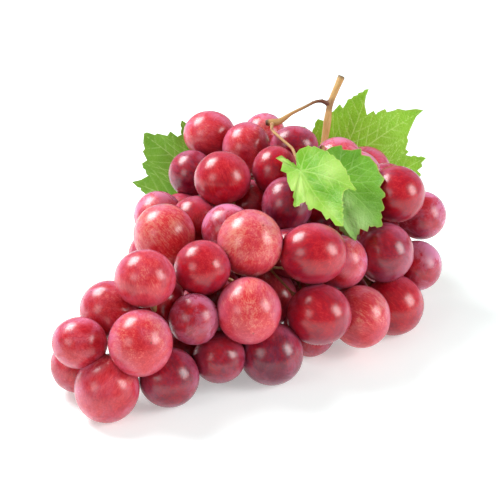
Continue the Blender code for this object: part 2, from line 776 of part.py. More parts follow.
def leaf_sheet(leaf, centre, radius):
    """Points of a blade: one row for each ring, the first being the junction repeated."""
    outline = np.array(leaf["outline"])
    junction = np.array(leaf["junction"])
    rings = np.array((0.0, *BLADE_RINGS))
    spots = junction + (outline - junction)[None] * rings[:, None, None]
    offset = spots - junction
    depth = leaf["depth"] + offset @ np.array(leaf["tilt"]) - leaf["cup"] * (offset**2).sum(-1)
    depth = lean(spots, depth, centre, radius, leaf["front"])
    for _ in range(BLADE_EASING):
        depth[1:] = depth[1:] * 0.5 + (np.roll(depth[1:], 1, 1) + np.roll(depth[1:], -1, 1)) * 0.25
        depth[0] = depth[1].mean() if leaf["front"] else depth[1].min()
        depth = lean(spots, depth, centre, radius, leaf["front"])
    return from_picture(spots[..., 0], spots[..., 1], depth)


def make_leaf(name, leaf, hosts, centre, radius, group):
    shade = material(name + "_green", leaf["colour"], 0.5)
    sheet = leaf_sheet(leaf, centre, radius)
    count = sheet.shape[1]
    work = bmesh.new()
    hub = work.verts.new(to_world(sheet[0, 0]))
    rings = [[work.verts.new(to_world(place)) for place in row] for row in sheet[1:]]
    for side in range(count):
        after = (side + 1) % count
        work.faces.new((hub, rings[0][side], rings[0][after]))
        for inner, outer in zip(rings, rings[1:]):
            work.faces.new((inner[side], outer[side], outer[after]))
            work.faces.new((inner[side], outer[after], inner[after]))
    grown = bmesh.ops.extrude_face_region(work, geom=work.faces[:])["geom"]
    back = [item for item in grown if isinstance(item, bmesh.types.BMVert)]
    bmesh.ops.translate(work, verts=back, vec=-SIGHT_TOWARD * BLADE_THICKNESS * MM)
    bmesh.ops.recalc_face_normals(work, faces=work.faces)
    mesh = bpy.data.meshes.new(name)
    work.to_mesh(mesh)
    work.free()
    blade = add_object(name, mesh, group)
    line = route(leaf["petiole"])
    line[0] = sheet[0, 0]
    if leaf["host"]:
        host = hosts[leaf["host"]]
        nearest = host[np.linalg.norm(host - line[-1], axis=1).argmin()]
        away = (line[-1] - nearest) / np.linalg.norm(line[-1] - nearest)
        line[-1] = nearest + away * (STALK_RADIUS + PETIOLE_RADIUS + STEM_GAP)
    line = resample(line, 2.0)
    eased = ease_clear(line, centre, radius, PETIOLE_RADIUS + STEM_GAP, 200)
    spots = thin_out(eased, THIN_OUT)
    radii = fit_radii(spots, np.full(len(spots), PETIOLE_RADIUS), centre, radius)
    pieces = [blade, tube(spots, radii, group, 1)]
    return unite(name, pieces, group, shade)


def main():
    remove_objects(bpy.data.objects)
    group = collection("bunch_of_grapes")
    cutters = collection("cutters")
    stalk = resample(route(STALK_ROUTE), 3.0)
    shoot = resample(route(SHOOT_ROUTE), 1.5)
    rachis = rachis_line()
    link = resample(np.vstack([stalk[-1], rachis[0]]), 3.0)
    heap = Heap(np.vstack([stalk, link, rachis, resample(shoot, 3.0)]))
    heap.settle(800)
    heap.fill()
    heap.settle(1200)
    centre = heap.grapes()[0]
    radius = heap.semi_axes().max(1) * FACET_GROWTH
    trunk = resample(np.vstack([stalk, rachis]), 3.0)
    trunk = ease_clear(trunk, centre, radius, RACHIS_RADIUS + STEM_GAP, 300, 10)
    ways = stem_ways(trunk, centre, radius)
    pedicels = finish_ways(trunk, ways, centre, radius)
    print(len(centre), "grapes,", len(pedicels), "with a stalk")
    make_berries(heap, group, cutters)
    make_stem(trunk, shoot, pedicels, centre, radius, group)
    hosts = dict(stalk=trunk, shoot=shoot)
    for name, leaf in LEAVES.items():
        make_leaf(name, leaf, hosts, centre, radius, group)


main()
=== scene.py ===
# Looks for a bunch of red table grapes lying on its side, with its cut stalk and four vine leaves.
# The layout is worked out in millimetres, by the same rules as the solids, and meshes are in metres.

import math

import bmesh
import bpy
import numpy as np
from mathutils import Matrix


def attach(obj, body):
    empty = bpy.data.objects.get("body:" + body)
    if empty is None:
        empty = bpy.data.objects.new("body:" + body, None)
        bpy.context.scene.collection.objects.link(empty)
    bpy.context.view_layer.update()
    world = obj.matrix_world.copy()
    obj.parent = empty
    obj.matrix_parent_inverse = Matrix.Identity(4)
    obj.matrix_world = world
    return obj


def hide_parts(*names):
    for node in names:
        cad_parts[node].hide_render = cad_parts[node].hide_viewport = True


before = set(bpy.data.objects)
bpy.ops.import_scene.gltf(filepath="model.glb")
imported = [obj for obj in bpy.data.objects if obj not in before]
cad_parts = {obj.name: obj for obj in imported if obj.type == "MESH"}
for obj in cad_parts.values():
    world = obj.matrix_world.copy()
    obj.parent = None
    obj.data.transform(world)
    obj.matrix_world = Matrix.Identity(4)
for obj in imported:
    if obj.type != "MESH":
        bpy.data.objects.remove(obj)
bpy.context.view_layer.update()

mm = 0.001
far = 99.0

# The viewpoint that grapes and leaves were measured from: mm, degrees, and the footprint's middle.
view = dict(distance=450.0, elevation=math.radians(26.0), lookHeight=37.0, width=210.0, middle=(4.4, 6.8, 0.0))

sightAcross = np.array([1.0, 0.0, 0.0])
sightUp = np.array([0.0, math.sin(view["elevation"]), math.cos(view["elevation"])])
sightToward = np.array([0.0, -math.cos(view["elevation"]), math.sin(view["elevation"])])
lookAt = np.array([0.0, 0.0, view["lookHeight"]])
alongHeap = np.array([1.0, 1.0, 0.0]) / math.sqrt(2)
sidewaysHeap = np.array([1.0, -1.0, 0.0]) / math.sqrt(2)


def span(vectors):
    return np.linalg.norm(vectors, axis=-1)


def nearness(toward):
    return (view["distance"] - toward) / view["distance"]


def fromPicture(across, up, toward):
    across, up, toward = np.broadcast_arrays(across, up, toward)
    near = nearness(toward)
    return (
        (across * near)[..., None] * sightAcross
        + (up * near)[..., None] * sightUp
        + toward[..., None] * sightToward
        + lookAt
    )


def toPicture(points):
    offset = points - lookAt
    toward = offset @ sightToward
    near = nearness(toward)
    return offset @ sightAcross / near, offset @ sightUp / near, toward


def toWorld(points):
    return (np.asarray(points) - np.array(view["middle"])) * mm


def toMillimetres(vertices):
    return np.array([v.co[:] for v in vertices]) / mm + np.array(view["middle"])


def route(points):
    return fromPicture(*np.array(points, float).T)


def resample(points, step):
    lengths = span(np.diff(points, axis=0))
    reach = np.concatenate([[0.0], np.cumsum(lengths)])
    count = max(2, int(round(reach[-1] / step)) + 1)
    at = np.linspace(0, reach[-1], count)
    return np.stack([np.interp(at, reach, points[:, axis]) for axis in range(points.shape[1])], axis=1)


# The seen grapes: across, up, width, height in mm, and how many layers behind the front skin.
seenGrapes = (
    (-17, 48.5, 22, 20, 0), (-1.5, 43, 20.5, 21.5, 0), (6, 48.5, 18, 18, 1),
    (18.5, 44, 20.5, 16.5, 0), (-24.5, 32, 19.5, 20, 0.4), (-11.5, 30, 24, 23, 0),
    (10.5, 33.5, 19.5, 20.5, 0), (15.5, 19, 21.5, 23.5, 0.4), (28, 19.5, 21, 21, 1),
    (-38.5, 14.5, 20.5, 20.5, 1), (-36, 6.5, 26, 26, 0), (-23, 12, 21, 21.5, 0.6),
    (-9.5, 8.5, 22, 22, 0.6), (0, 3, 28, 28.5, 0), (26.5, -1.5, 29, 26, 0),
    (38, -5, 23, 23, 1), (56.5, -1, 24.5, 25.5, 0), (61.5, 23.5, 24, 24, 0),
    (57, 26.5, 20.5, 20.5, 1), (72, 14.5, 20.5, 20.5, 0), (70, -6.5, 21, 21, 0),
    (60, -23, 26, 26, 0.3), (46.5, -28, 25, 26.5, 0), (29, -27, 27.5, 26, 0),
    (25, -33.5, 22.5, 22.5, 2), (-0.5, -25.5, 27.5, 28.5, 0), (9, -43.5, 27, 27, 0),
    (-13, -45, 22.5, 22, 0), (-34, -53.5, 25.5, 25.5, 0), (-46, -39, 27.5, 28.5, 0),
    (-60, -58, 27.5, 29, 0), (-71.5, -39, 23.5, 22, 0), (-72, -48, 23.5, 24, 1),
    (-59, -25, 25, 24.5, 0), (-44, -12, 26, 24.5, 0), (-20, -7.5, 24, 23.5, 0),
    (-23.5, -29, 21.5, 22, 0), (-38, -21, 21, 21, 1), (-27, -43, 21, 21, 2),
    (37, 37, 21, 21, 0.4), (44.5, 31.5, 21, 21, 0.4), (48.5, 4, 21, 21, 1),
)

# The heap along its own axis: along, half width, top and sideways shift in mm.
heapTable = (
    (-95, 1, 14, 0), (-88, 10, 17, 0), (-55, 25, 38, -6), (-10, 46, 60, -8),
    (40, 49, 66, -8), (75, 34, 50, -3), (92, 14, 28, 5), (98, 1, 16, 5),
)

heapRules = dict(
    floor=12.0, roundness=2.4, layer=16.0, press=0.94, loosest=0.3, flat=0.35, usualRadius=12.1,
    seenStep=0.45, hiddenStep=0.35, cling=0.07, clingsTo=4, lift=1.6, sag=0.5, sagBelow=7.0,
    stemRoom=2.7, stemPush=0.8, homing=0.01, bigOnesNearer=0.02,
    hiddenDiameter=22.8, shrink=0.9, grow=0.7, spacing=9.0, seed=4, crowding=0.85, seam=3.5,
    mostlyHidden=0.8, shells=(1.0, 0.5, 0.2), leafShade=(34.0, 26.0, 20.0, 19.0), leafShadeDepth=-12.0,
    rimShare=0.93, squareness=0.83, turnStep=2.4, stemClear=1.5, firstSettle=800, lastSettle=1200,
    reachShare=1.025, trunkClearance=2.1, trunkPasses=300, trunkPinned=10,
)

stalkRoute = (
    (38.5, 73.0, -45), (35.5, 66.0, -45), (33.5, 61.5, -45), (32.5, 54.0, -46), (31.5, 46.5, -47),
    (30.0, 41.0, -48),
)
shootRoute = (
    (33.5, 61.0, -45), (30.0, 63.0, -45), (27.5, 62.5, -45), (23.0, 60.0, -44), (17.5, 57.5, -43),
    (12.0, 53.5, -42), (6.5, 53.5, -41),
)


def heapSection(along):
    table = np.array(heapTable, float).T
    return [np.interp(along, table[0], row) for row in table[1:]]


def heapDepth(points):
    along = points @ alongHeap
    halfWidth, top, shift = heapSection(along)
    across = np.abs((points @ sidewaysHeap - shift) / halfWidth)
    halfHeight = (top - heapRules["floor"]) / 2 + 2
    height = np.abs((points[..., 2] - (top + heapRules["floor"]) / 2) / halfHeight)
    outside = np.where((along < heapTable[0][0]) | (along > heapTable[-1][0]), 50.0, 0.0)
    return across ** heapRules["roundness"] + height ** heapRules["roundness"] + outside


def rachisLine():
    along = np.linspace(50, -62, 30)
    _, top, shift = heapSection(along)
    height = (top + heapRules["floor"]) / 2
    return along[:, None] * alongHeap + shift[:, None] * sidewaysHeap + height[:, None] * np.array([0, 0, 1.0])


def looseLinks(overlap):
    # the nearest pair between each group of grapes that stands apart and the rest
    touching = overlap > -heapRules["loosest"]
    group = np.arange(len(overlap))
    while True:
        joined = np.where(touching, group[None], group[:, None]).min(1)
        if (joined == group).all():
            break
        group = joined
    mainGroup = np.bincount(group).argmax()
    for label in set(group) - {mainGroup}:
        members = np.flatnonzero(group == label)
        others = np.flatnonzero(group != label)
        gap = overlap[np.ix_(members, others)]
        row, column = np.unravel_index(gap.argmax(), gap.shape)
        yield members[row], others[column]


class GrapeHeap:
    # grape centres and radii in mm, seen ones first

    def __init__(self, stems):
        self.table = np.array(seenGrapes)
        self.stems = stems
        steps = np.arange(90.0, -120.0, -1.0)
        depth = heapDepth(fromPicture(self.table[:, :1], self.table[:, 1:2], steps[None]))
        inside = depth <= 1
        pick = np.where(inside.any(1), inside.argmax(1), depth.argmin(1))
        self.wanted = steps[pick] - heapRules["layer"] * self.table[:, 4]
        self.toward = self.wanted.copy()
        self.hidden = np.zeros((0, 3))
        self.hiddenRadius = np.zeros(0)

    def grapes(self):
        seen = fromPicture(self.table[:, 0], self.table[:, 1], self.toward)
        radius = self.table[:, 2:4].min(1) / 2 * nearness(self.toward)
        return np.vstack([seen, self.hidden]), np.concatenate([radius, self.hiddenRadius])

    def semiAxes(self):
        seen = self.table[:, 2:4] / 2 * nearness(self.toward)[:, None]
        seen = np.column_stack([seen, seen.mean(1)])
        return np.vstack([seen, np.repeat(self.hiddenRadius[:, None], 3, 1)])

    def settle(self, steps):
        # seen grapes slide along their lines of sight and hidden ones move freely till all touch
        rules = heapRules
        count = len(self.table)
        offAxis = self.table[:, :1] * sightAcross + self.table[:, 1:2] * sightUp
        sight = sightToward - offAxis / view["distance"]
        rows = np.arange(count + len(self.hidden))
        for _ in range(steps):
            centre, radius = self.grapes()
            apart = centre[:, None] - centre[None]
            distance = span(apart) + np.eye(len(centre)) * far
            overlap = rules["press"] * (radius[:, None] + radius[None]) - distance
            nearest = np.zeros(overlap.shape, bool)
            nearest[rows[:, None], np.argsort(-overlap, axis=1)[:, :rules["clingsTo"]]] = True
            pull = np.where(nearest & (overlap < 0), np.clip(overlap, -4, 0), 0) * rules["cling"]
            for one, other in looseLinks(overlap):
                pull[one, other] = pull[other, one] = overlap[one, other] - 1.0
            force = ((np.clip(overlap, 0, None) + pull) / distance)[:, :, None] * apart
            push = force.sum(1)
            above = centre[:, 2] - (radius - rules["flat"])
            push[:, 2] += np.clip(-above, 0, None) * rules["lift"]
            low = above[count:] < rules["sagBelow"]
            push[count:, 2] -= np.where(low, np.clip(above[count:], 0, 1), 0) * rules["sag"]
            toStem = centre[:, None] - self.stems[None]
            reach = span(toStem)
            closest = reach.argmin(1)
            short = np.clip(radius + rules["stemRoom"] - reach[rows, closest], 0, None) / reach[rows, closest]
            push += short[:, None] * toStem[rows, closest] * rules["stemPush"]
            self.toward = (
                self.toward
                + (push[:count] * sight).sum(1) * rules["seenStep"]
                + (self.wanted - self.toward) * rules["homing"]
                + (radius[:count] - rules["usualRadius"]) * rules["bigOnesNearer"]
            )
            self.hidden = self.hidden + push[count:] * rules["hiddenStep"]

    def outOfSight(self, point, radius):
        rules = heapRules
        across, up, toward = toPicture(point[None])
        rim = radius * view["distance"] / (view["distance"] - toward[0]) * rules["rimShare"]
        turn = np.linspace(0, 2 * math.pi, 16, endpoint=False)
        rimAcross = across[0] + rim * np.cos(turn)
        rimUp = up[0] + rim * np.sin(turn)
        gap = np.hypot(rimAcross[:, None] - self.table[:, 0], rimUp[:, None] - self.table[:, 1])
        size = self.table[:, 2:4].sum(1) / 4
        nearer = self.toward > toward[0]
        behindGrape = (nearer & (gap < size)).any(1)
        besideGrape = (nearer & (gap < size + rules["seam"])).any(1)
        leafAcross, leafUp, halfWidth, halfHeight = rules["leafShade"]
        inShade = np.hypot((rimAcross - leafAcross) / halfWidth, (rimUp - leafUp) / halfHeight) < 1
        hidden = behindGrape | (inShade & (toward[0] < rules["leafShadeDepth"]))
        return hidden.mean() > rules["mostlyHidden"] and (hidden | besideGrape).all()

    def fill(self):
        # grapes on the heap's hidden skin, then inside it, wherever there is room
        rules = heapRules
        draw = np.random.default_rng(rules["seed"])
        halfSize = rules["hiddenDiameter"] / 2
        turn = 0
        for shell in rules["shells"]:
            for along in np.arange(-84, 94, rules["spacing"]):
                halfWidth, top, shift = heapSection(along)
                halfHeight = (top - rules["floor"]) / 2 * shell
                halfWidth = halfWidth * shell
                girth = 2 * math.pi * math.hypot(halfWidth, halfHeight) / math.sqrt(2)
                count = max(3, round(girth / rules["spacing"]))
                turn += 1
                for place in range(count):
                    angle = 2 * math.pi * place / count + turn * rules["turnStep"]
                    side = math.copysign(abs(math.cos(angle)) ** rules["squareness"], math.cos(angle))
                    rise = math.copysign(abs(math.sin(angle)) ** rules["squareness"], math.sin(angle))
                    height = max(halfSize, (top + rules["floor"]) / 2 + halfHeight * rise)
                    point = along * alongHeap + (shift + halfWidth * side) * sidewaysHeap
                    point = point + height * np.array([0, 0, 1.0])
                    self.add(point, halfSize + draw.uniform(-rules["shrink"], rules["grow"]))

    def add(self, point, radius):
        centre, other = self.grapes()
        if (span(centre - point) < heapRules["crowding"] * (other + radius)).any():
            return
        if span(self.stems - point).min() < radius + heapRules["stemClear"]:
            return
        if self.outOfSight(point, radius):
            self.hidden = np.vstack([self.hidden, point])
            self.hiddenRadius = np.append(self.hiddenRadius, radius)


def easeClear(points, centre, radius, clearance, passes, pinned=1):
    # bends a line clear of the grapes and keeps it smooth, with its ends held
    points = points.copy()
    inner = slice(pinned, -1)
    for _ in range(passes):
        points[inner] += (points[pinned - 1:-2] + points[pinned + 1:] - 2 * points[inner]) * 0.15
        away = points[:, None] - centre[None]
        reach = span(away)
        short = np.clip(radius + clearance - reach, 0, None) / reach
        move = (short[:, :, None] * away).sum(1)
        points[inner] += move[inner] * 0.6
    return points


stalk = resample(route(stalkRoute), 3.0)
shoot = resample(route(shootRoute), 1.5)
rachis = rachisLine()
link = resample(np.vstack([stalk[-1], rachis[0]]), 3.0)
heap = GrapeHeap(np.vstack([stalk, link, rachis, resample(shoot, 3.0)]))
heap.settle(heapRules["firstSettle"])
heap.fill()
heap.settle(heapRules["lastSettle"])
grapeCentres = heap.grapes()[0]
grapeAxes = heap.semiAxes()
grapeReach = grapeAxes.max(1) * heapRules["reachShare"]
trunk = resample(np.vstack([stalk, rachis]), 3.0)
trunk = easeClear(
    trunk, grapeCentres, grapeReach, heapRules["trunkClearance"], heapRules["trunkPasses"], heapRules["trunkPinned"],
)
print("Laid out", len(grapeCentres), "grapes")


def newTree(name, kind, inputs, output, outputKind):
    # each input is given as its usual number, or as the kind of socket where it has none
    tree = bpy.data.node_groups.new(name, kind)
    for label, value in inputs.items():
        socketKind = {int: "Int", float: "Float"}.get(type(value), value)
        socket = tree.interface.new_socket(label, in_out="INPUT", socket_type="NodeSocket" + socketKind)
        if socketKind != value:
            socket.default_value = value
    tree.interface.new_socket(output, in_out="OUTPUT", socket_type="NodeSocket" + outputKind)
    return tree, tree.nodes.new("NodeGroupInput").outputs, tree.nodes.new("NodeGroupOutput").inputs[0]


def put(tree, kind, inputs=None, **settings):
    # adds a node; an input given as a socket is linked, anything else is its value
    node = tree.nodes.new(kind)
    for key, value in settings.items():
        setattr(node, key, value)
    for key, value in (inputs or {}).items():
        if isinstance(value, bpy.types.NodeSocket):
            tree.links.new(value, node.inputs[key])
        else:
            node.inputs[key].default_value = value
    return node


def first(tree, kind, inputs=None, **settings):
    return put(tree, kind, inputs, **settings).outputs[0]


def combine(tree, one, other, operation="ADD"):
    return first(tree, "ShaderNodeMath", {0: one, 1: other}, operation=operation)


def times(tree, one, other):
    return combine(tree, one, other, "MULTIPLY")


def combineVectors(tree, one, other, operation="ADD"):
    node = put(tree, "ShaderNodeVectorMath", {0: one, 1: other}, operation=operation)
    return node.outputs["Value" if operation == "DISTANCE" else "Vector"]


def ramp(tree, value, low, high, toLow=0.0, toHigh=1.0):
    inputs = {"Value": value, "From Min": low, "From Max": high, "To Min": toLow, "To Max": toHigh}
    return first(tree, "ShaderNodeMapRange", inputs, interpolation_type="SMOOTHSTEP")


def noise(tree, place, scale, detail=2.0, roughness=0.5, distortion=0.0):
    return first(tree, "ShaderNodeTexNoise", {
        "Vector": place, "Scale": scale, "Detail": detail, "Roughness": roughness, "Distortion": distortion,
    })


def clamped(tree, value):
    return first(tree, "ShaderNodeClamp", {0: value})


def blendColours(tree, factor, one, other):
    return put(tree, "ShaderNodeMix", {0: factor, 6: one, 7: other}, data_type="RGBA").outputs[2]


def normalPart(tree, axis):
    normal = put(tree, "ShaderNodeNewGeometry").outputs["Normal"]
    return put(tree, "ShaderNodeSeparateXYZ", {0: normal}).outputs[axis]


def newMaterial(name):
    # a material, its tree and shader, and a reader of the mesh's named values
    shade = bpy.data.materials.new(name)
    shade.use_nodes = True
    tree = shade.node_tree
    read = lambda label, out="Fac": put(tree, "ShaderNodeAttribute", attribute_name=label).outputs[out]
    return shade, tree, tree.nodes["Principled BSDF"], read


def setSockets(shader, values):
    for name, value in values.items():
        shader.inputs[name].default_value = value


def mottled(tree, place, light, dark, patchScale, speckleScale, speckleShare):
    return first(tree, "ShaderNodeGroup", {
        "Place": place, "Light": light, "Dark": dark, "Patch scale": patchScale,
        "Speckle scale": speckleScale, "Speckle share": speckleShare,
    }, node_tree=mottle)


def reliefHeight(tree, place, coarseScale, fineScale, fineShare):
    return first(tree, "ShaderNodeGroup", {
        "Place": place, "Coarse scale": coarseScale, "Fine scale": fineScale, "Fine share": fineShare,
    }, node_tree=relief)


def coverWith(tree, shader, colour, roughness, height, strength, depth):
    tree.links.new(colour, shader.inputs["Base Color"])
    tree.links.new(roughness, shader.inputs["Roughness"])
    bump = first(tree, "ShaderNodeBump", {"Strength": strength, "Distance": depth, "Height": height})
    tree.links.new(bump, shader.inputs["Normal"])


def linkPiece(name, data):
    piece = bpy.data.objects.new(name, data)
    bpy.context.scene.collection.objects.link(piece)
    return piece


def meshObject(name, verts, faces):
    mesh = bpy.data.meshes.new(name)
    mesh.from_pydata([tuple(v) for v in verts], [], faces)
    mesh.update()
    return linkPiece(name, mesh)


def storeValues(mesh, **fields):
    # a number or a vector for each vertex
    for name, values in fields.items():
        values = np.asarray(values, np.float32)
        kind, part = ("FLOAT_VECTOR", "vector") if values.ndim == 2 else ("FLOAT", "value")
        mesh.attributes.new(name, kind, "POINT").data.foreach_set(part, values.ravel())


def runModifiers(piece):
    # the evaluated result becomes the piece's own plain mesh
    graph = bpy.context.evaluated_depsgraph_get()
    mesh = bpy.data.meshes.new_from_object(piece.evaluated_get(graph))
    piece.modifiers.clear()
    old = piece.data
    piece.data = mesh
    mesh.name = old.name
    bpy.data.meshes.remove(old)


def hostTree(piece, tree, values):
    modifier = piece.modifiers.new(tree.name, "NODES")
    modifier.node_group = tree
    for item in tree.interface.items_tree:
        if item.item_type == "SOCKET" and item.in_out == "INPUT" and item.name in values:
            modifier[item.identifier] = values[item.name]
    runModifiers(piece)


def tubeMesh(work, points, radii, sides, wobble=None):
    # a closed tube through points in mm
    points = np.asarray(points, float)
    tangent = np.gradient(points, axis=0)
    tangent /= span(tangent)[:, None]
    side = np.cross(tangent[0], [0.0, 0.0, 1.0])
    if span(side) < 0.1:
        side = np.array([1.0, 0.0, 0.0])
    rings = []
    for index, (place, along, size) in enumerate(zip(points, tangent, radii)):
        side = side - along * (side @ along)
        side /= span(side)
        other = np.cross(along, side)
        ring = []
        for step in range(sides):
            angle = 2 * math.pi * step / sides
            reach = size * (1 + (wobble(index, angle) if wobble else 0.0))
            spot = place + reach * (math.cos(angle) * side + math.sin(angle) * other)
            ring.append(work.verts.new(toWorld(spot)))
        rings.append(ring)
    for one, other in zip(rings, rings[1:]):
        for step in range(sides):
            after = (step + 1) % sides
            work.faces.new((one[step], one[after], other[after], other[step]))
    work.faces.new(rings[0][::-1])
    work.faces.new(rings[-1])


def mottleGroup():
    # soft patches and fine speckles between two colours
    tree, get, end = newTree("mottle", "ShaderNodeTree", {
        "Place": "Vector", "Light": "Color", "Dark": "Color", "Patch scale": 60.0, "Speckle scale": 900.0,
        "Speckle share": 0.3,
    }, "Color", "Color")
    soft = ramp(tree, noise(tree, get["Place"], get["Patch scale"], 4.0, 0.6), 0.35, 0.68)
    fine = ramp(tree, noise(tree, get["Place"], get["Speckle scale"], 2.0, 0.7), 0.42, 0.62)
    fine = times(tree, combine(tree, fine, 0.5, "SUBTRACT"), get["Speckle share"])
    mask = clamped(tree, combine(tree, soft, fine))
    tree.links.new(blendColours(tree, mask, get["Light"], get["Dark"]), end)
    return tree


def reliefGroup():
    # fine unevenness as a height from 0 to 1
    tree, get, end = newTree("fineRelief", "ShaderNodeTree", {
        "Place": "Vector", "Coarse scale": 200.0, "Fine scale": 1500.0, "Fine share": 0.4,
    }, "Height", "Float")
    coarse = noise(tree, get["Place"], get["Coarse scale"])
    fine = noise(tree, get["Place"], get["Fine scale"])
    tree.links.new(first(tree, "ShaderNodeMix", {0: get["Fine share"], 2: coarse, 3: fine}), end)
    return tree


mottle = mottleGroup()
relief = reliefGroup()


grapeLook = dict(
    segments=44, rings=24, unevenness=0.03, dimple=0.07, seed=11, usualTone=(0.42, 0.66), usualBloom=(0.04, 0.26),
    # grapes that differ, by number: tone from and to (0 light, 1 deep), and bloom
    kinds=dict(
        peach=((11, 14, 23, 26, 35), 0.14, 0.30, 0.14), pale=((3, 10, 16, 40, 41), 0.20, 0.30, 0.42),
        dark=((4, 5, 8, 17, 27, 28, 29, 39), 0.66, 0.82, 0.12), dusty=((13, 20, 21, 37), 0.50, 0.60, 0.55),
        bright=((1, 2, 30, 31, 32, 34), 0.24, 0.40, 0.22), rich=((6, 7, 15, 18, 22, 24, 36, 38), 0.48, 0.62, 0.02),
    ),
    ripe=(0.44, 0.0, 0.010, 1.0), deep=(0.13, 0.0, 0.020, 1.0), blush=(0.63, 0.03, 0.038, 1.0),
    # rim is the colour of the painted sheen toward each grape's edges
    light=(0.74, 0.24, 0.17, 1.0), bloom=(0.66, 0.37, 0.58, 1.0), rim=(0.68, 0.23, 0.40, 1.0),
    scar=(0.20, 0.05, 0.03, 1.0), roughness=0.25, filmRoughness=0.24, sheen=0.03, subsurface=0.16, shine=0.7,
    dots=0.10, filmStrength=0.6, leastPaintedSheen=0.18, edgeShade=0.75, bumpStrength=0.12, bumpDepth=0.0006,
)


def grapeSkin():
    look = grapeLook
    shade, tree, shader, read = newMaterial("grapeSkin")
    place = read("place", "Vector")
    along = read("along")
    upward = normalPart(tree, 2)
    mapped = lambda key, value: first(tree, "ShaderNodeMapping", {"Vector": place, key: value})
    # streaks that run from end to end, patches and fine grain, deeper away from the stalk, and painted shade: deeper
    # where the skin faces down, lighter where it faces up
    streaks = noise(tree, mapped("Scale", (3.2, 3.2, 0.7)), 2.6, 6.0, 0.65, 0.4)
    patches = noise(tree, place, 1.15, 3.0)
    grain = noise(tree, mapped("Scale", (24.0, 24.0, 7.0)), 1.0, 3.0, 0.75)
    level = read("tone")
    for value, low, high, toLow, toHigh in (
        (streaks, 0.3, 0.7, -0.10, 0.10), (patches, 0.35, 0.65, -0.09, 0.09), (grain, 0.35, 0.65, -0.09, 0.09),
        (along, 0.2, 1.0, 0.0, -0.10), (upward, -0.6, 0.9, 0.13, -0.02),
    ):
        level = combine(tree, level, ramp(tree, value, low, high, toLow, toHigh))
    colours = put(tree, "ShaderNodeValToRGB", {0: level})
    stops = colours.color_ramp.elements
    stops[0].color = look["light"]
    stops[1].color = look["deep"]
    stops.new(0.24).color = look["blush"]
    stops.new(0.52).color = look["ripe"]
    # pale dots in the skin
    dots = ramp(tree, first(tree, "ShaderNodeTexVoronoi", {"Vector": place, "Scale": 17.0}), 0.16, 0.05)
    colour = blendColours(tree, times(tree, dots, look["dots"]), colours.outputs[0], look["light"])
    # the powdery bloom, rubbed off in places, laid on thicker where the skin faces up as a painted highlight on top
    rubbed = noise(tree, mapped("Location", (5.0, 2.0, 9.0)), 1.5, 7.0, 0.68, 0.6)
    film = times(tree, ramp(tree, rubbed, 0.38, 0.68), ramp(tree, upward, -0.6, 0.9, 0.35, 1.0))
    film = times(tree, film, times(tree, read("bloom"), look["filmStrength"]))
    colour = blendColours(tree, film, colour, look["bloom"])
    # a painted pink sheen toward the edges, strongest on top, and a painted dark line of shade where the skin is
    # seen edge-on
    facing = put(tree, "ShaderNodeLayerWeight", {0: 0.5}).outputs["Facing"]
    paintedEdgeSheen = times(tree, ramp(tree, facing, 0.1, 0.66), combine(tree, read("bloom"), look["leastPaintedSheen"]))
    paintedEdgeSheen = times(tree, paintedEdgeSheen, ramp(tree, rubbed, 0.36, 0.64, 0.3, 1.3))
    paintedEdgeSheen = times(tree, paintedEdgeSheen, ramp(tree, upward, -0.5, 0.7, 0.55, 1.35))
    colour = blendColours(tree, clamped(tree, paintedEdgeSheen), colour, look["rim"])
    # painted shade: the edge-on rim is darkened, only where the skin faces up
    line = times(tree, ramp(tree, facing, 0.72, 1.0, 0.0, look["edgeShade"]), ramp(tree, upward, -0.2, 0.3))
    colour = blendColours(tree, line, colour, look["deep"])
    # the scar at the blossom end, and the ring round the stalk
    scar = ramp(tree, along, -0.9972, -0.9992, 0.0, 0.8)
    ring = ramp(tree, along, 0.985, 0.997, 0.0, 0.6)
    colour = blendColours(tree, combine(tree, scar, ring, "MAXIMUM"), colour, look["scar"])
    rough = ramp(tree, film, 0.0, 0.5, look["roughness"], look["roughness"] + look["filmRoughness"])
    height = reliefHeight(tree, place, 5.0, 42.0, 0.35)
    coverWith(tree, shader, colour, rough, height, look["bumpStrength"], look["bumpDepth"])
    setSockets(shader, {
        "Subsurface Weight": look["subsurface"], "Subsurface Radius": (1.0, 0.22, 0.12),
        "Subsurface Scale": 0.005, "Sheen Weight": look["sheen"], "Sheen Roughness": 0.35,
        "Sheen Tint": (1.0, 0.84, 0.92, 1.0), "IOR": 1.45, "Specular IOR Level": look["shine"],
    })
    return shade


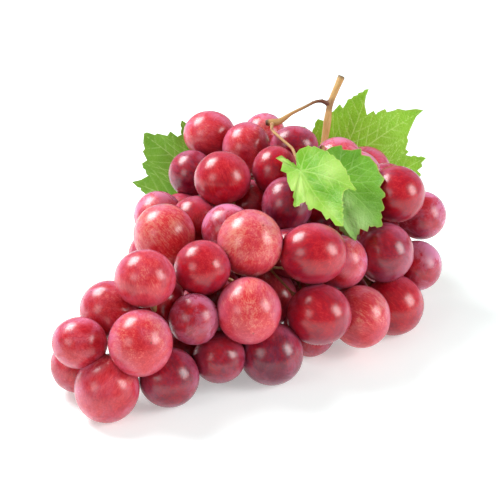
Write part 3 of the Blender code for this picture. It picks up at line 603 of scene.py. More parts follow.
def grapeTree(skin):
    # a grape on each point: turned to its stalk, then stretched along the picture's own axes
    tree, get, end = newTree("grapesOnPoints", "GeometryNodeTree", {
        "Geometry": "Geometry", "Segments": 32, "Rings": 16, "Unevenness": 0.02, "Dimple": 0.05, "View tilt": 0.0,
    }, "Geometry", "Geometry")
    position = first(tree, "GeometryNodeInputPosition")
    read = lambda name, kind="FLOAT_VECTOR": first(
        tree, "GeometryNodeInputNamedAttribute", {"Name": name}, data_type=kind)
    store = lambda geometry, name, kind, value: first(
        tree, "GeometryNodeStoreNamedAttribute", {"Geometry": geometry, "Name": name, "Value": value},
        data_type=kind, domain="POINT")
    ball = first(tree, "GeometryNodeMeshUVSphere", {
        "Segments": get["Segments"], "Rings": get["Rings"], "Radius": 1.0,
    })
    ballHeight = put(tree, "ShaderNodeSeparateXYZ", {0: position}).outputs[2]
    ball = store(ball, "along", "FLOAT", ballHeight)
    ball = store(ball, "place", "FLOAT_VECTOR", position)
    turn = first(tree, "FunctionNodeEulerToRotation", {0: read("poleTurn")})
    placed = first(tree, "GeometryNodeInstanceOnPoints", {
        "Points": get["Geometry"], "Instance": ball, "Rotation": turn,
    })
    real = first(tree, "GeometryNodeRealizeInstances", {0: placed})
    middle = read("middle")
    unit = combineVectors(tree, position, middle, "SUBTRACT")
    own = combineVectors(tree, read("place"), read("grapeSeed"))
    along = read("along", "FLOAT")
    swell = combine(tree, noise(tree, own, 0.9, 0.0), 0.5, "SUBTRACT")
    reach = combine(tree, 1.0, times(tree, swell, get["Unevenness"]))
    reach = combine(tree, reach, times(tree, ramp(tree, along, 0.90, 0.995), get["Dimple"]), "SUBTRACT")
    reach = combine(tree, reach, ramp(tree, along, -0.975, -0.999, 0.0, 0.012))
    unit = first(tree, "ShaderNodeVectorMath", {0: unit, "Scale": reach}, operation="SCALE")
    tilted = lambda vector, angle: first(
        tree, "ShaderNodeVectorRotate", {"Vector": vector, "Angle": angle}, rotation_type="X_AXIS")
    local = tilted(unit, times(tree, get["View tilt"], -1.0))
    local = combineVectors(tree, local, read("semiAxes"), "MULTIPLY")
    world = tilted(local, get["View tilt"])
    # grapes that touch the surface are flat there
    parts = put(tree, "ShaderNodeSeparateXYZ", {0: combineVectors(tree, world, middle)}).outputs
    height = combine(tree, parts[2], 0.0, "MAXIMUM")
    spot = first(tree, "ShaderNodeCombineXYZ", {0: parts[0], 1: parts[1], 2: height})
    moved = first(tree, "GeometryNodeSetPosition", {"Geometry": real, "Position": spot})
    moved = store(moved, "place", "FLOAT_VECTOR", own)
    moved = first(tree, "GeometryNodeSetShadeSmooth", {0: moved})
    tree.links.new(first(tree, "GeometryNodeSetMaterial", {"Geometry": moved, "Material": skin}), end)
    return tree


def stalkEnds():
    # where each grape's small stalk starts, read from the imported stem: direction from the grape, and distance
    verts = toMillimetres(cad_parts["stem"].data.vertices)
    starts = []
    for centre in grapeCentres:
        away = verts - centre
        reach = span(away)
        starts.append(away[reach < reach.min() + 0.45].mean(0))
    starts = np.array(starts)
    distances = span(starts)
    return starts / distances[:, None], distances


def makeGrapes(directions):
    look = grapeLook
    count = len(grapeCentres)
    draw = np.random.default_rng(look["seed"])
    tone = draw.uniform(*look["usualTone"], count)
    bloom = draw.uniform(*look["usualBloom"], count)
    for numbers, low, high, film in look["kinds"].values():
        for number in numbers:
            tone[number - 1] = low + (high - low) * ((number * 0.37) % 1.0)
            bloom[number - 1] = film
    piece = meshObject("grapes", toWorld(grapeCentres), [])
    x, y, z = directions.T
    storeValues(
        piece.data, middle=toWorld(grapeCentres), semiAxes=grapeAxes * mm,
        poleTurn=np.column_stack([z * 0, np.arccos(np.clip(z, -1, 1)), np.arctan2(y, x)]),
        grapeSeed=draw.uniform(0, 40, (count, 3)), tone=tone, bloom=bloom,
    )
    hostTree(piece, grapeTree(grapeSkin()), {
        "Segments": look["segments"], "Rings": look["rings"], "Unevenness": look["unevenness"],
        "Dimple": look["dimple"], "View tilt": math.pi / 2 - view["elevation"],
    })
    return piece


poleDirections, poleDistances = stalkEnds()
grapes = makeGrapes(poleDirections)
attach(grapes, "root")
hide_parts("berries")
print("Made the grapes:", len(grapes.data.polygons), "faces")


stemLook = dict(
    voxel=0.0004, collarRadius=1.55, collarLength=1.5, collarFlare=(1.2, 1.0, 0.8, 0.5),
    tan=(0.64, 0.42, 0.16, 1.0), orange=(0.44, 0.19, 0.03, 1.0), cut=(0.09, 0.045, 0.02, 1.0),
    maroon=(0.10, 0.022, 0.02, 1.0), green=(0.26, 0.11, 0.04, 1.0), young=(0.37, 0.21, 0.08, 1.0),
    stalkSwelling=((0, 0.03, 0.1, 0.13, 0.155, 0.2, 1), (1.75, 1.55, 1.5, 1.95, 1.85, 1.55, 1.0)),
    shootSwelling=((0, 0.08, 0.25, 0.6, 0.75, 0.88, 0.95, 1), (1.5, 0.95, 0.72, 0.85, 1.3, 1.75, 1.6, 1.2)),
    # how the colours change along the side shoot, by share of its length
    maroonAlong=((0, 0.14, 0.4, 0.62), (1.0, 1.0, 0.45, 0.0)), woodyAlong=((0, 0.5, 0.75, 1), (1, 0.8, 0.6, 0.6)),
    stalkPoints=18, stalkSides=20, shootSides=18, collarSides=10, woodyLength=34, bumpStrength=0.5, bumpDepth=0.0003,
)


def roundLine(points, step=1.0):
    # a smooth line through rough points
    line = resample(points, step)
    for _ in range(6):
        line[1:-1] = line[1:-1] * 0.5 + (line[:-2] + line[2:]) * 0.25
    return line


def nearestOn(line, points):
    # distance from the points to a line, and how far along it they are
    best = np.full(len(points), 1e9)
    at = np.zeros(len(points))
    travelled = np.concatenate([[0.0], np.cumsum(span(np.diff(line, axis=0)))])
    for index, place in enumerate(line):
        away = span(points - place)
        closer = away < best
        best[closer] = away[closer]
        at[closer] = travelled[index]
    return best, at


def fadeOut(distance, start, width):
    # 1 up to the start, then down to 0 over the width
    return np.clip(1 - (distance - start) / width, 0, 1)


def stemBark():
    look = stemLook
    shade, tree, shader, read = newMaterial("stemBark")
    streaks = ramp(tree, noise(tree, read("barkPlace", "Vector"), 1.0, 5.0, 0.65), 0.36, 0.66)
    # more orange in the streaks and on the side that faces right
    orangeShare = combine(tree, times(tree, streaks, 0.4), ramp(tree, normalPart(tree, 0), -0.3, 0.9, 0.0, 0.6))
    wood = blendColours(tree, orangeShare, look["tan"], look["orange"])
    place = put(tree, "ShaderNodeTexCoord").outputs["Object"]
    speckled = mottled(tree, place, look["young"], look["green"], 120.0, 1500.0, 0.5)
    colour = blendColours(tree, read("woody"), speckled, wood)
    for label in ("maroon", "cut"):
        colour = blendColours(tree, read(label), colour, look[label])
    rough = ramp(tree, streaks, 0.0, 1.0, 0.42, 0.6)
    height = reliefHeight(tree, read("barkPlace", "Vector"), 1.2, 5.0, 0.4)
    coverWith(tree, shader, colour, rough, height, look["bumpStrength"], look["bumpDepth"])
    setSockets(shader, {"Subsurface Weight": 0.1, "Subsurface Scale": 0.001})
    return shade


def makeStem(directions, distances):
    look = stemLook
    work = bmesh.new()
    work.from_mesh(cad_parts["stem"].data)
    bmesh.ops.remove_doubles(work, verts=work.verts, dist=0.000001)
    ridges = lambda index, angle: 0.05 * math.sin(4 * angle + index * 0.05) + 0.025 * math.sin(9 * angle)
    line = roundLine(trunk[:look["stalkPoints"]])
    shootLine = roundLine(shoot)
    for path, end, swelling, sides in (
        (line, look["stalkPoints"] / len(trunk), look["stalkSwelling"], look["stalkSides"]),
        (shootLine, 1.0, look["shootSwelling"], look["shootSides"]),
    ):
        tubeMesh(work, path, np.interp(np.linspace(0, end, len(path)), *swelling), sides, ridges)
    # a flared collar between each small stalk and its grape
    for centre, direction, distance, axes in zip(grapeCentres, directions, distances, grapeAxes):
        inPicture = np.array([direction @ sightAcross, direction @ sightUp, direction @ sightToward])
        surface = 1.0 / span(inPicture / axes)
        reach = np.array([surface - 0.8, surface + 0.1, distance + 0.2, distance + look["collarLength"]])
        flare = np.array(look["collarFlare"]) * look["collarRadius"]
        tubeMesh(work, centre + reach[:, None] * direction, flare, look["collarSides"])
    bmesh.ops.recalc_face_normals(work, faces=work.faces)
    mesh = bpy.data.meshes.new("stemWood")
    work.to_mesh(mesh)
    work.free()
    piece = linkPiece("stemWood", mesh)
    remesh = piece.modifiers.new("remesh", "REMESH")
    remesh.mode = "VOXEL"
    remesh.voxel_size = look["voxel"]
    smooth = piece.modifiers.new("smooth", "SMOOTH")
    smooth.factor = 0.5
    smooth.iterations = 4
    runModifiers(piece)
    mesh = piece.data
    mesh.shade_smooth()
    mesh.materials.clear()
    mesh.materials.append(stemBark())
    # colours by how far along the stalk and the side shoot each point lies
    points = toMillimetres(mesh.vertices)
    off, at = nearestOn(line, points)
    shootOff, shootAt = nearestOn(shootLine, points)
    onStalk = fadeOut(off, 2.3, 1.2) * fadeOut(at, look["woodyLength"], 10)
    onShoot = fadeOut(shootOff, 2.2, 0.8)
    share = shootAt / shootAt.max()
    nearNode = fadeOut(span(points - shootLine[0]), 2.2, 1.6)
    reddish = onShoot * np.interp(share, *look["maroonAlong"]) * (off > 1.6)
    angle = np.arctan2(points[:, 1] - np.interp(at, np.arange(len(line)), line[:, 1]),
                       points[:, 0] - np.interp(at, np.arange(len(line)), line[:, 0]))
    storeValues(
        mesh, woody=np.clip(np.maximum(onStalk, onShoot * np.interp(share, *look["woodyAlong"])), 0, 1),
        maroon=np.clip(np.maximum(reddish, nearNode * 0.5), 0, 1) * 0.9,
        cut=np.maximum(fadeOut(span(points - line[0]), 1.6, 0.8), fadeOut(span(points - shootLine[-1]), 1.4, 0.9)),
        barkPlace=np.column_stack([np.cos(angle) * 2.2, np.sin(angle) * 2.2, at * 0.16]),
    )
    return piece


stemWood = makeStem(poleDirections, poleDistances)
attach(stemWood, "root")
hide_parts("stem")
print("Made the stem:", len(stemWood.data.polygons), "faces")


leafRules = dict(
    directions=180, depthRings=40, clearance=1.2, closest=0.8, smoothing=(60, 24, 12), lastSmoothing=4,
    edgeSmoothing=12, edgeRoom=1.08, plainEdge=4.4, toothEvery=2.4, toothHeight=0.65, thickness=0.4,
    # veins: width at start and end of a main and a side vein, then where the side veins start, turn and stop
    mainVein=(0.46, 0.14), sideVein=(0.28, 0.12), firstSideVein=0.16, veinSpacing=5.2, veinAngle=math.radians(48),
    veinStep=0.6, veinCurl=0.012, veinEnd=0.97, veinGap=1.3, groove=0.08, quiltReach=1.6, waves=0.14,
    rimShare=0.4, underShare=0.4, bumpStrength=0.35, bumpDepth=0.0002,
    petioleRadius=0.9, petioleSwelling=((0, 0.08, 0.5, 0.85, 1), (0.45, 0.7, 0.6, 0.7, 1.1)), petioleSides=12,
    duckLength=9.0, duckDepth=2.5,
    petioleLight=(0.52, 0.32, 0.14, 1.0), petioleDark=(0.36, 0.15, 0.07, 1.0),
)

leaves = {
    "leafBackRight": dict(
        node="leaf_back_right", step=0.6, ringStep=0.53, quilting=0.10, veinShare=0.68, stalkShare=1,
        front=False, junction=(27.5, 22.5), depth=-79.2, tilt=(0.05, 0.5), cup=0.003,
        outline=(
            (25.4, 20.4), (22, 8), (30, 8), (36, 11.5), (44, 7.5), (48, 13), (60, 12), (62, 24), (71.8, 31.9),
            (70.3, 33.4), (72.5, 35.1), (72, 36.6), (74, 38.6), (68, 39.3), (65.4, 39.9), (66.7, 41.3), (65.4, 42.4),
            (66.5, 45.9), (66, 47.3), (67.3, 50.6), (68.6, 53.6), (69.9, 56.1), (72.9, 58.8), (69.5, 59.3),
            (65.4, 58.7), (60.9, 58.8), (57.5, 57.9), (56.8, 59.3), (53, 56.7), (51.9, 58.5), (49.1, 56.8),
            (48.2, 61.1), (48.7, 64.5), (50, 67.7), (45.2, 65.1), (40.8, 62.4), (39, 59.6), (37.7, 61.3), (35, 58.3),
            (31.1, 54.2), (28.5, 55.1), (26.4, 49.3), (23, 51.8), (16, 50), (15, 40), (8, 32), (12, 24), (16, 14),
        ),
        tips=((49, 66), (71, 57.6), (72, 37.8), (58, 14), (24, 49.5), (10.5, 31)),
        host="stalk",
        petiole=((27.5, 22.5, -80), (27, 24, -77), (28, 34, -70), (30, 44, -60), (31.8, 50, -52)),
        green=(0.27, 0.58, 0.025), deep=(0.21, 0.49, 0.015), pale=(0.34, 0.64, 0.06), vein=(0.66, 0.88, 0.26),
        rim=(0.42, 0.60, 0.10), paleAndLitSpots=((60, 50, 14, 0.4),), paintedShadeSpots=(),
        bulges=((56, 50, 8, 0.8),),
    ),
    "leafBackLeft": dict(
        node="leaf_back_left", step=0.42, ringStep=0.45, quilting=0.10, veinShare=0.68, stalkShare=1,
        front=False, junction=(-15.5, 20), depth=-70, tilt=(0, 0.5), cup=0.003,
        outline=(
            (-13.4, 17.9), (-7, 14), (-2, 20), (-3, 28), (1, 36), (-6, 42), (-10, 50), (-20, 51), (-26.8, 53.3),
            (-28.7, 54.6), (-28.6, 48.6), (-29.7, 48.1), (-30.4, 47.6), (-33.5, 49.9), (-34.7, 48), (-38.9, 49),
            (-40, 48.4), (-44.6, 49), (-44.9, 44.9), (-44.2, 42.5), (-45.1, 41.4), (-43.3, 37.7), (-45.4, 36.4),
            (-42.6, 31.3), (-45.8, 29.5), (-49.7, 28.6), (-45.8, 26.2), (-46, 25.1), (-44.1, 23.7), (-38, 17),
            (-40, 11), (-30, 9), (-24, 6), (-17, 9),
        ),
        tips=((-43.8, 48), (-48.5, 28.4), (-28.4, 53), (-38.5, 12), (-1, 35)),
        host=None,
        petiole=((-15.5, 20, -70), (-14, 17, -72), (-11, 12, -76), (-6, 8, -78)),
        green=(0.20, 0.48, 0.03), deep=(0.15, 0.40, 0.02), pale=(0.28, 0.54, 0.08), vein=(0.55, 0.80, 0.24),
        rim=(0.36, 0.54, 0.10), paleAndLitSpots=(), paintedShadeSpots=(), bulges=((-36, 40, 6, 0.7),),
    ),
    "leafFrontUpper": dict(
        node="leaf_front_upper", step=0.33, ringStep=0.36, quilting=0.14, veinShare=0.5, stalkShare=1,
        front=True, junction=(21.3, 33.3), depth=10.5, tilt=(0.15, -0.8), cup=-0.004,
        outline=(
            (19.6, 35.2), (12.5, 39.5), (10.8, 38.6), (13.8, 36.8), (12.9, 33.3), (15.4, 32.3), (15.7, 28.8),
            (17.4, 24.8), (18.5, 24.8), (18.8, 18), (23.4, 21.1), (25.3, 16.6), (26.8, 17.7), (30, 16.1),
            (32.1, 12.6), (33.6, 13.5), (35.9, 10.3), (39, 9.8), (38.7, 15.6), (38.7, 20.8), (39.4, 24.6),
            (41.1, 25.7), (39.8, 26.8), (44.8, 25.3), (42.2, 28.8), (39.4, 34.7), (36.3, 38.2), (31.4, 41.7),
            (28.6, 42.9), (23.7, 43.4), (20.9, 42.4), (19.2, 40.3), (19.5, 36.5),
        ),
        tips=((38.6, 10.8), (43.8, 25.8), (19.3, 19.2), (12, 38.6), (35.5, 38.4), (24.5, 42.6)),
        host="shoot",
        petiole=(
            (21.3, 33.3, 10), (20.6, 36, 6), (18.3, 42.1, -4), (14, 45.1, -10), (10.6, 48.3, -18),
            (9.4, 51, -40),
        ),
        green=(0.25, 0.50, 0.04), deep=(0.13, 0.38, 0.008), pale=(0.42, 0.64, 0.14), vein=(0.46, 0.70, 0.18),
        rim=(0.55, 0.60, 0.16),
        # pale spots: painted light on the parts of the blade that face up and left toward the light
        paleAndLitSpots=(
            (20, 27, 4.5, 1), (25, 20.5, 4, 0.9), (32.5, 15.5, 4, 0.8), (35.5, 33, 5.5, 0.8),
            (13.5, 37.5, 3, 1),
        ),
        # dark spots: painted shade under the overlapping lobe and along the fold
        paintedShadeSpots=((35, 23.8, 4, 1), (30, 26.5, 2.8, 1), (25.5, 30, 1.6, 0.8), (23.5, 38.5, 3.6, 0.8)),
        bulges=((35, 31.5, 5.5, 1.8), (34.5, 22.5, 4, -1.2), (24, 22, 4, 0.9), (24, 38.5, 3.5, -0.8)),
    ),
    "leafFrontLower": dict(
        node="leaf_front_lower", step=0.33, ringStep=0.36, quilting=0.14, veinShare=0.55, stalkShare=0.6,
        front=True, junction=(35.5, 29.5), depth=1, tilt=(-0.15, -0.5), cup=-0.003,
        outline=(
            (33.4, 31.4), (31, 36.5), (31.4, 41.5), (34.2, 43.3), (38.5, 44.1), (39, 42.2), (42.9, 42), (46.7, 42.7),
            (46.9, 40), (51.2, 38.2), (53.3, 35.8), (54.4, 32.6), (56.6, 29.8), (54.5, 26.4), (56.8, 22.5),
            (55.2, 21.3), (56.1, 16.6), (54.9, 16.1), (55.2, 9.8), (50.2, 10.3), (49.3, 7.7), (46.2, 9), (43.7, 3.4),
            (39.7, 6.9), (37.6, 8.4), (38.5, 15), (37, 21), (34.5, 26),
        ),
        tips=((43.8, 4.4), (54.6, 10.6), (56, 29.6), (50.6, 37.6), (38.4, 43)),
        host="stalk",
        petiole=((35.5, 29.5, 1), (34.5, 33, -4), (33, 37, -16), (31.5, 39.5, -32), (30.8, 41, -44)),
        green=(0.17, 0.42, 0.03), deep=(0.11, 0.31, 0.012), pale=(0.42, 0.68, 0.22), vein=(0.34, 0.58, 0.14),
        # pale spots: painted sheen on the lobe seen at a glancing angle
        rim=(0.60, 0.42, 0.12), paleAndLitSpots=((44.5, 11, 7, 1.2), (40.5, 19.5, 4, 1)),
        # dark spots: painted shade under the leaf above
        paintedShadeSpots=((41, 38, 6, 0.9), (50, 24, 5, 0.4)),
        bulges=((44, 12, 5, 1.3), (49, 20, 3.5, -0.7), (50, 30, 5, 0.9), (41, 38, 4, -0.8)),
    ),
}


def lean(spots, depth, front, clearance):
    # lifts a sheet at the front, or pushes one at the back, clear of every grape on the line of sight
    across, up, toward = toPicture(grapeCentres)
    offset = span(spots[..., None, :] - np.stack([across, up], axis=1)) * nearness(toward)
    reach = grapeReach + clearance
    bulge = np.sqrt(np.clip(reach**2 - offset**2, 0, None))
    if front:
        return np.maximum(depth, np.where(offset < reach, toward + bulge, -1e3).max(-1))
    return np.minimum(depth, np.where(offset < reach, toward - bulge, 1e3).min(-1))


def easeField(field, passes):
    # evens out a field whose rows are rings and whose columns run round
    for _ in range(passes):
        field = field * 0.5 + (np.roll(field, 1, 1) + np.roll(field, -1, 1)) * 0.25
        field[1:-1] = field[1:-1] * 0.5 + (field[:-2] + field[2:]) * 0.25
        field[0] = field[1].mean()
    return field


def bladeDepth(leaf, spots):
    # how far toward the eye the blade lies at each spot: a smooth sheet that clears the grapes
    rules = leafRules
    junction = np.array(leaf["junction"])
    outline = resample(np.vstack([leaf["outline"], leaf["outline"][:1]]), 0.8) - junction
    angles = np.arctan2(outline[:, 1], outline[:, 0])
    order = np.argsort(angles)
    count = rules["directions"]
    directions = np.linspace(-math.pi, math.pi, count, endpoint=False)
    reach = span(outline)
    edge = np.interp(directions, angles[order], reach[order], period=2 * math.pi)
    for _ in range(rules["edgeSmoothing"]):
        edge = edge * 0.5 + (np.roll(edge, 1) + np.roll(edge, -1)) * 0.25
    edge = edge * rules["edgeRoom"]
    shares = np.linspace(0, 1, rules["depthRings"])
    headings = np.stack([np.cos(directions), np.sin(directions)], axis=1)
    offset = (shares[:, None] * edge)[..., None] * headings
    depth = leaf["depth"] + offset @ np.array(leaf["tilt"]) - leaf["cup"] * (offset**2).sum(-1)
    depth = lean(junction + offset, depth, leaf["front"], rules["clearance"])
    for passes in rules["smoothing"]:
        depth = lean(junction + offset, easeField(depth, passes), leaf["front"], rules["closest"])
    depth = easeField(depth, rules["lastSmoothing"])
    away = spots - junction
    angle = np.arctan2(away[..., 1], away[..., 0])
    column = (angle + math.pi) / (2 * math.pi) * count
    left = column.astype(int)
    part = column - left
    limit = np.interp(angle, directions, edge, period=2 * math.pi)
    row = np.clip(span(away) / limit, 0, 1) * (len(shares) - 1)
    low = np.clip(row.astype(int), 0, len(shares) - 2)
    rise = row - low
    inner = depth[low, left % count] * (1 - part) + depth[low, (left + 1) % count] * part
    outer = depth[low + 1, left % count] * (1 - part) + depth[low + 1, (left + 1) % count] * part
    return inner * (1 - rise) + outer * rise


def fineOutline(leaf):
    # the outline in small steps; long edges get teeth
    table = np.array(leaf["outline"])
    spots = []
    for start, end in zip(table, np.roll(table, -1, 0)):
        edge = end - start
        length = span(edge)
        outward = np.array([edge[1], -edge[0]]) / length
        middle = (start + end) / 2 - np.array(leaf["junction"])
        if outward @ middle < 0:
            outward = -outward
        teeth = int(length // leafRules["toothEvery"]) if length > leafRules["plainEdge"] else 0
        count = max(2, int(round(length / leaf["step"])))
        for step in range(count):
            share = step / count
            rise = 0.0
            if teeth:
                phase = (share * teeth) % 1.0
                rise = leafRules["toothHeight"] * (phase / 0.75 if phase < 0.75 else (1 - phase) / 0.25)
            spots.append(start + edge * share + outward * rise)
    return np.array(spots)


def bend(start, end, sag, count=12):
    # a slightly bowed line between two points of the blade
    share = np.linspace(0, 1, count)[:, None]
    chord = end - start
    side = np.array([-chord[1], chord[0]])
    return start + chord * share + side * sag * np.sin(share * math.pi)


def leafVeins(leaf, outline):
    # main veins to the lobes, and side veins that leave them at an angle and run to the margin
    rules = leafRules
    junction = np.array(leaf["junction"])
    offset = outline - junction
    order = np.argsort(np.arctan2(offset[:, 1], offset[:, 0]))
    angles = np.arctan2(offset[:, 1], offset[:, 0])[order]
    reaches = span(offset)[order]
    mains = []
    for number, tip in enumerate(leaf["tips"]):
        sag = 0.05 if number % 2 else -0.05
        mains.append(bend(junction, np.array(tip), sag, 24))
    veins = [(line, *rules["mainVein"]) for line in mains]
    for number, line in enumerate(mains):
        others = [other for index, other in enumerate(mains) if index != number]
        line = resample(line, 0.5)
        total = len(line) * 0.5
        start = rules["firstSideVein"] * total
        side = 1
        while start < total - 3.0:
            index = int(start / 0.5)
            ahead = line[min(index + 2, len(line) - 1)] - line[index - 1]
            heading = math.atan2(ahead[1], ahead[0]) + side * rules["veinAngle"]
            point = line[index].copy()
            path = [point.copy()]
            for step in range(70):
                heading -= side * rules["veinCurl"]
                point = point + rules["veinStep"] * np.array([math.cos(heading), math.sin(heading)])
                away = point - junction
                edge = np.interp(math.atan2(away[1], away[0]), angles, reaches, period=2 * math.pi)
                if span(away) > edge * rules["veinEnd"]:
                    break
                if step > 3 and min(span(other - point).min() for other in others) < rules["veinGap"]:
                    break
                path.append(point.copy())
            if len(path) > 4:
                veins.append((np.array(path), *rules["sideVein"]))
            side = -side
            start += rules["veinSpacing"] / 2
    return veins


def veinField(spots, veins):
    # how near each spot is to a vein: a sharp mask for colour and a wide one for the quilting
    sharp = np.zeros(len(spots))
    nearest = np.full(len(spots), 1e3)
    for line, wide, narrow in veins:
        line = resample(line, 0.35)
        width = np.linspace(wide, narrow, len(line))
        away = span(spots[:, None] - line[None])
        pick = away.argmin(1)
        distance = away[np.arange(len(spots)), pick]
        strength = np.clip(1 - (distance - width[pick] * 0.35) / (width[pick] * 0.9), 0, 1)
        sharp = np.maximum(sharp, strength * min(1.0, 0.55 + wide))
        nearest = np.minimum(nearest, distance / (0.6 + wide))
    return sharp, nearest


def spotField(spots, table):
    # soft round spots, each as across, up, reach and strength
    field = np.zeros(len(spots))
    for across, up, reach, amount in table:
        field = np.maximum(field, amount * np.exp(-((spots - np.array([across, up])) ** 2).sum(1) / reach**2))
    return field


def leafSkin(name, leaf):
    rules = leafRules
    shade, tree, shader, read = newMaterial(name + "Skin")
    colourOf = lambda key: (*leaf[key], 1.0)
    place = read("bladePlace", "Vector")
    colour = mottled(tree, place, colourOf("green"), colourOf("deep"), 1.3, 30.0, 0.25)
    # pale spots: mostly painted light where the blade faces the lamps and painted sheen where it is seen at a
    # glancing angle, partly the leaf's own paler green
    colour = blendColours(tree, read("pale"), colour, colourOf("pale"))
    # painted shade: deeper green where other lobes and leaves overlap the blade
    colour = blendColours(tree, read("dusky"), colour, colourOf("deep"))
    # the fine net between the veins
    cells = first(tree, "ShaderNodeTexVoronoi", {
        "Vector": place, "Scale": 7.0, "Randomness": 0.9,
    }, feature="DISTANCE_TO_EDGE")
    colour = blendColours(tree, ramp(tree, cells, 0.09, 0.0, 0.0, 0.10), colour, colourOf("vein"))
    for label, share, key in (
        ("vein", leaf["veinShare"], "vein"), ("margin", rules["rimShare"], "rim"),
        ("under", rules["underShare"], "pale"),
    ):
        colour = blendColours(tree, times(tree, read(label), share), colour, colourOf(key))
    stalky = mottled(tree, place, rules["petioleLight"], rules["petioleDark"], 1.5, 30.0, 0.3)
    colour = blendColours(tree, read("petiole"), colour, stalky)
    rough = ramp(tree, noise(tree, place, 9.0), 0.3, 0.7, 0.46, 0.6)
    height = combine(tree, reliefHeight(tree, place, 6.0, 40.0, 0.3), ramp(tree, cells, 0.0, 0.2))
    coverWith(tree, shader, colour, rough, height, rules["bumpStrength"], rules["bumpDepth"])
    setSockets(shader, {
        "Specular IOR Level": 0.3, "Subsurface Weight": 0.25, "Subsurface Radius": (0.4, 1.0, 0.2),
        "Subsurface Scale": 0.0004,
    })
    return shade


def petioleLine(leaf, hub, hosts):
    # the leaf's own stalk, from its host to behind the blade
    rules = leafRules
    line = route(leaf["petiole"])
    line[0] = hub
    if leaf["host"]:
        host = hosts[leaf["host"]]
        nearest = host[span(host - line[-1]).argmin()]
        away = (line[-1] - nearest) / span(line[-1] - nearest)
        line[-1] = nearest + away * 0.8
    line = easeClear(resample(line, 2.0), grapeCentres, grapeReach, rules["petioleRadius"] + 0.4, 200)
    line = roundLine(line, 0.8)
    line = line[:max(4, int(len(line) * leaf["stalkShare"]))]
    away = span(line - hub)[:, None]
    line -= sightToward * np.clip(1 - away / rules["duckLength"], 0, 1) * rules["duckDepth"]
    line[0] = hub - sightToward * rules["thickness"]
    return line


def bladeFaces(ringCount, columns):
    # two skins of rings round the hub, the second one behind, closed along the margin
    at = lambda layer, ring, column: 2 + (layer * ringCount + ring) * columns + column % columns
    faces = []
    for column in range(columns):
        after = column + 1
        faces.append((0, at(0, 0, column), at(0, 0, after)))
        faces.append((1, at(1, 0, after), at(1, 0, column)))
        for ring in range(ringCount - 1):
            faces.append((at(0, ring, column), at(0, ring + 1, column), at(0, ring + 1, after), at(0, ring, after)))
            faces.append((at(1, ring, column), at(1, ring, after), at(1, ring + 1, after), at(1, ring + 1, column)))
        last = ringCount - 1
        faces.append((at(0, last, column), at(1, last, column), at(1, last, after), at(0, last, after)))
    return faces


def makeLeaf(name, leaf, hosts):
    rules = leafRules
    outline = fineOutline(leaf)
    junction = np.array(leaf["junction"])
    longest = span(outline - junction).max()
    rings = np.linspace(0, 1, int(longest / leaf["ringStep"]) + 1)[1:]
    spots = junction + (outline - junction)[None] * rings[:, None, None]
    depth = bladeDepth(leaf, spots)
    flat = spots.reshape(-1, 2)
    sharp, nearest = veinField(flat, leafVeins(leaf, outline))
    groove = sharp.reshape(depth.shape) * rules["groove"]
    quilt = (1 - np.exp(-nearest / rules["quiltReach"])).reshape(depth.shape) * leaf["quilting"]
    turn = np.linspace(0, 2 * math.pi, len(outline), endpoint=False)[None]
    wave = np.sin(turn * 9 + 1.0) * 0.6 + np.sin(turn * 17 + 2.2) * 0.4
    settleIn = np.clip(rings[:, None] / 0.15, 0, 1)
    for across, up, reach, rise in leaf["bulges"]:
        depth = depth + rise * np.exp(-((spots - np.array([across, up])) ** 2).sum(-1) / reach**2)
    depth = depth + (quilt - groove) * settleIn + wave * rings[:, None] ** 4 * rules["waves"]
    top = fromPicture(spots[..., 0], spots[..., 1], depth).reshape(-1, 3)
    hub = fromPicture(junction[0], junction[1], depth[0].mean())
    back = -sightToward * rules["thickness"]
    blade = np.vstack([hub, hub + back, top, top + back])
    piece = meshObject(name, toWorld(blade), bladeFaces(len(rings), len(outline)))
    mesh = piece.data
    work = bmesh.new()
    work.from_mesh(mesh)
    line = petioleLine(leaf, hub, hosts)
    tubeMesh(work, line, np.interp(np.linspace(0, 1, len(line)), *rules["petioleSwelling"]), rules["petioleSides"])
    stalkVerts = np.array([v.co[:] for v in work.verts])[len(blade):]
    bmesh.ops.recalc_face_normals(work, faces=work.faces)
    work.to_mesh(mesh)
    work.free()
    blank = np.zeros(len(stalkVerts))
    both = lambda values, hubValue=0.0: np.concatenate([[hubValue, hubValue], values, values, blank])
    plane = np.column_stack([flat / 10, np.zeros(len(flat))])
    hubPlane = np.array([[*(junction / 10), 0.0]])
    storeValues(
        mesh, vein=both(sharp, 1.0), margin=both(np.repeat(np.clip((rings - 0.965) / 0.03, 0, 1), len(outline))),
        pale=np.clip(both(spotField(flat, leaf["paleAndLitSpots"])), 0, 1),
        dusky=np.clip(both(spotField(flat, leaf["paintedShadeSpots"])), 0, 1),
        under=np.concatenate([[0, 1], np.zeros(len(flat)), np.ones(len(flat)), blank]),
        petiole=np.concatenate([np.zeros(len(blade)), blank + 1]),
        bladePlace=np.vstack([hubPlane, hubPlane, plane, plane, stalkVerts / mm / 10]),
    )
    mesh.shade_smooth()
    mesh.set_sharp_from_angle(angle=math.radians(60))
    mesh.materials.append(leafSkin(name, leaf))
    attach(piece, "root")
    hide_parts(leaf["node"])
    print("Made", name, len(mesh.polygons), "faces")


hosts = dict(stalk=trunk, shoot=shoot)
for leafName, leafData in leaves.items():
    makeLeaf(leafName, leafData, hosts)


stageLook = dict(
    floorColour=(0.86, 0.93, 0.922, 1.0), floorGlow=0.38, farGlow=0.85, glowFrom=0.3, glowTo=1.1,
    floorHalf=4.0, floorDrop=0.0001, worldLight=0.26, backdrop=1.0, aimHeight=0.04, sensor=36.0,
    # each lamp's place, size and power
    lamps=dict(
        lampTop=((-0.42, 0.22, 0.62), (0.44, 0.34), 7.4), lampRight=((0.68, -0.26, 0.36), (0.34, 0.44), 4.4),
        lampLeft=((-0.60, -0.62, 0.42), (0.4, 0.4), 1.8),
    ),
)


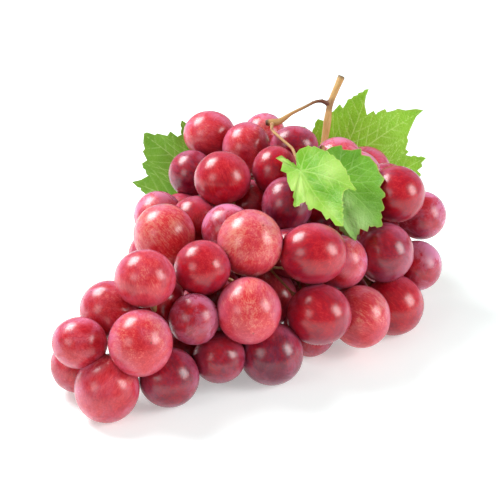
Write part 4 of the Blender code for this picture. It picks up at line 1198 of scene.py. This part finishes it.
def aimed(name, data, place, direction):
    # a lamp or camera that looks along a direction, with its top up
    x, y, z = direction / span(direction)
    holder = linkPiece(name, data)
    holder.location = place
    holder.rotation_euler = math.acos(max(-1.0, min(1.0, -z))), 0.0, math.atan2(-x, y)
    return holder


def makeFloor():
    look = stageLook
    half, low = look["floorHalf"], -look["floorDrop"]
    corners = [(-half, -half, low), (half, -half, low), (half, half, low), (-half, half, low)]
    floor = meshObject("floor", corners, [(0, 1, 2, 3)])
    shade, tree, shader, _ = newMaterial("paleFloor")
    setSockets(shader, {
        "Base Color": look["floorColour"], "Emission Color": look["floorColour"], "Roughness": 0.6,
        "Specular IOR Level": 0.2,
    })
    # brighter far out, where the lamps no longer reach
    place = put(tree, "ShaderNodeTexCoord").outputs["Object"]
    away = combineVectors(tree, place, (0.0, 0.0, 0.0), "DISTANCE")
    glow = ramp(tree, away, look["glowFrom"], look["glowTo"], look["floorGlow"], look["farGlow"])
    tree.links.new(glow, shader.inputs["Emission Strength"])
    floor.data.materials.append(shade)


def makeLight():
    look = stageLook
    world = bpy.data.worlds.new("studio")
    bpy.context.scene.world = world
    world.use_nodes = True
    tree = world.node_tree
    background = tree.nodes["Background"]
    background.inputs["Color"].default_value = (1.0, 1.0, 1.0, 1.0)
    seen = put(tree, "ShaderNodeLightPath").outputs["Is Camera Ray"]
    strength = ramp(tree, seen, 0.0, 1.0, look["worldLight"], look["backdrop"])
    tree.links.new(strength, background.inputs["Strength"])
    for name, (place, size, power) in look["lamps"].items():
        lamp = bpy.data.lights.new(name, "AREA")
        lamp.shape = "RECTANGLE"
        lamp.size, lamp.size_y = size
        lamp.energy = power
        aimed(name, lamp, place, np.array([0.0, 0.0, look["aimHeight"]]) - np.array(place))


def makeCamera():
    camera = bpy.data.cameras.new("camera")
    camera.sensor_width = stageLook["sensor"]
    camera.lens = camera.sensor_width * view["distance"] / view["width"]
    camera.clip_start = 0.01
    place = toWorld(lookAt + sightToward * view["distance"])
    bpy.context.scene.camera = aimed("camera", camera, place, -sightToward)


makeFloor()
makeLight()
makeCamera()
bpy.context.scene.view_settings.view_transform = "Standard"
print("Set the stage")
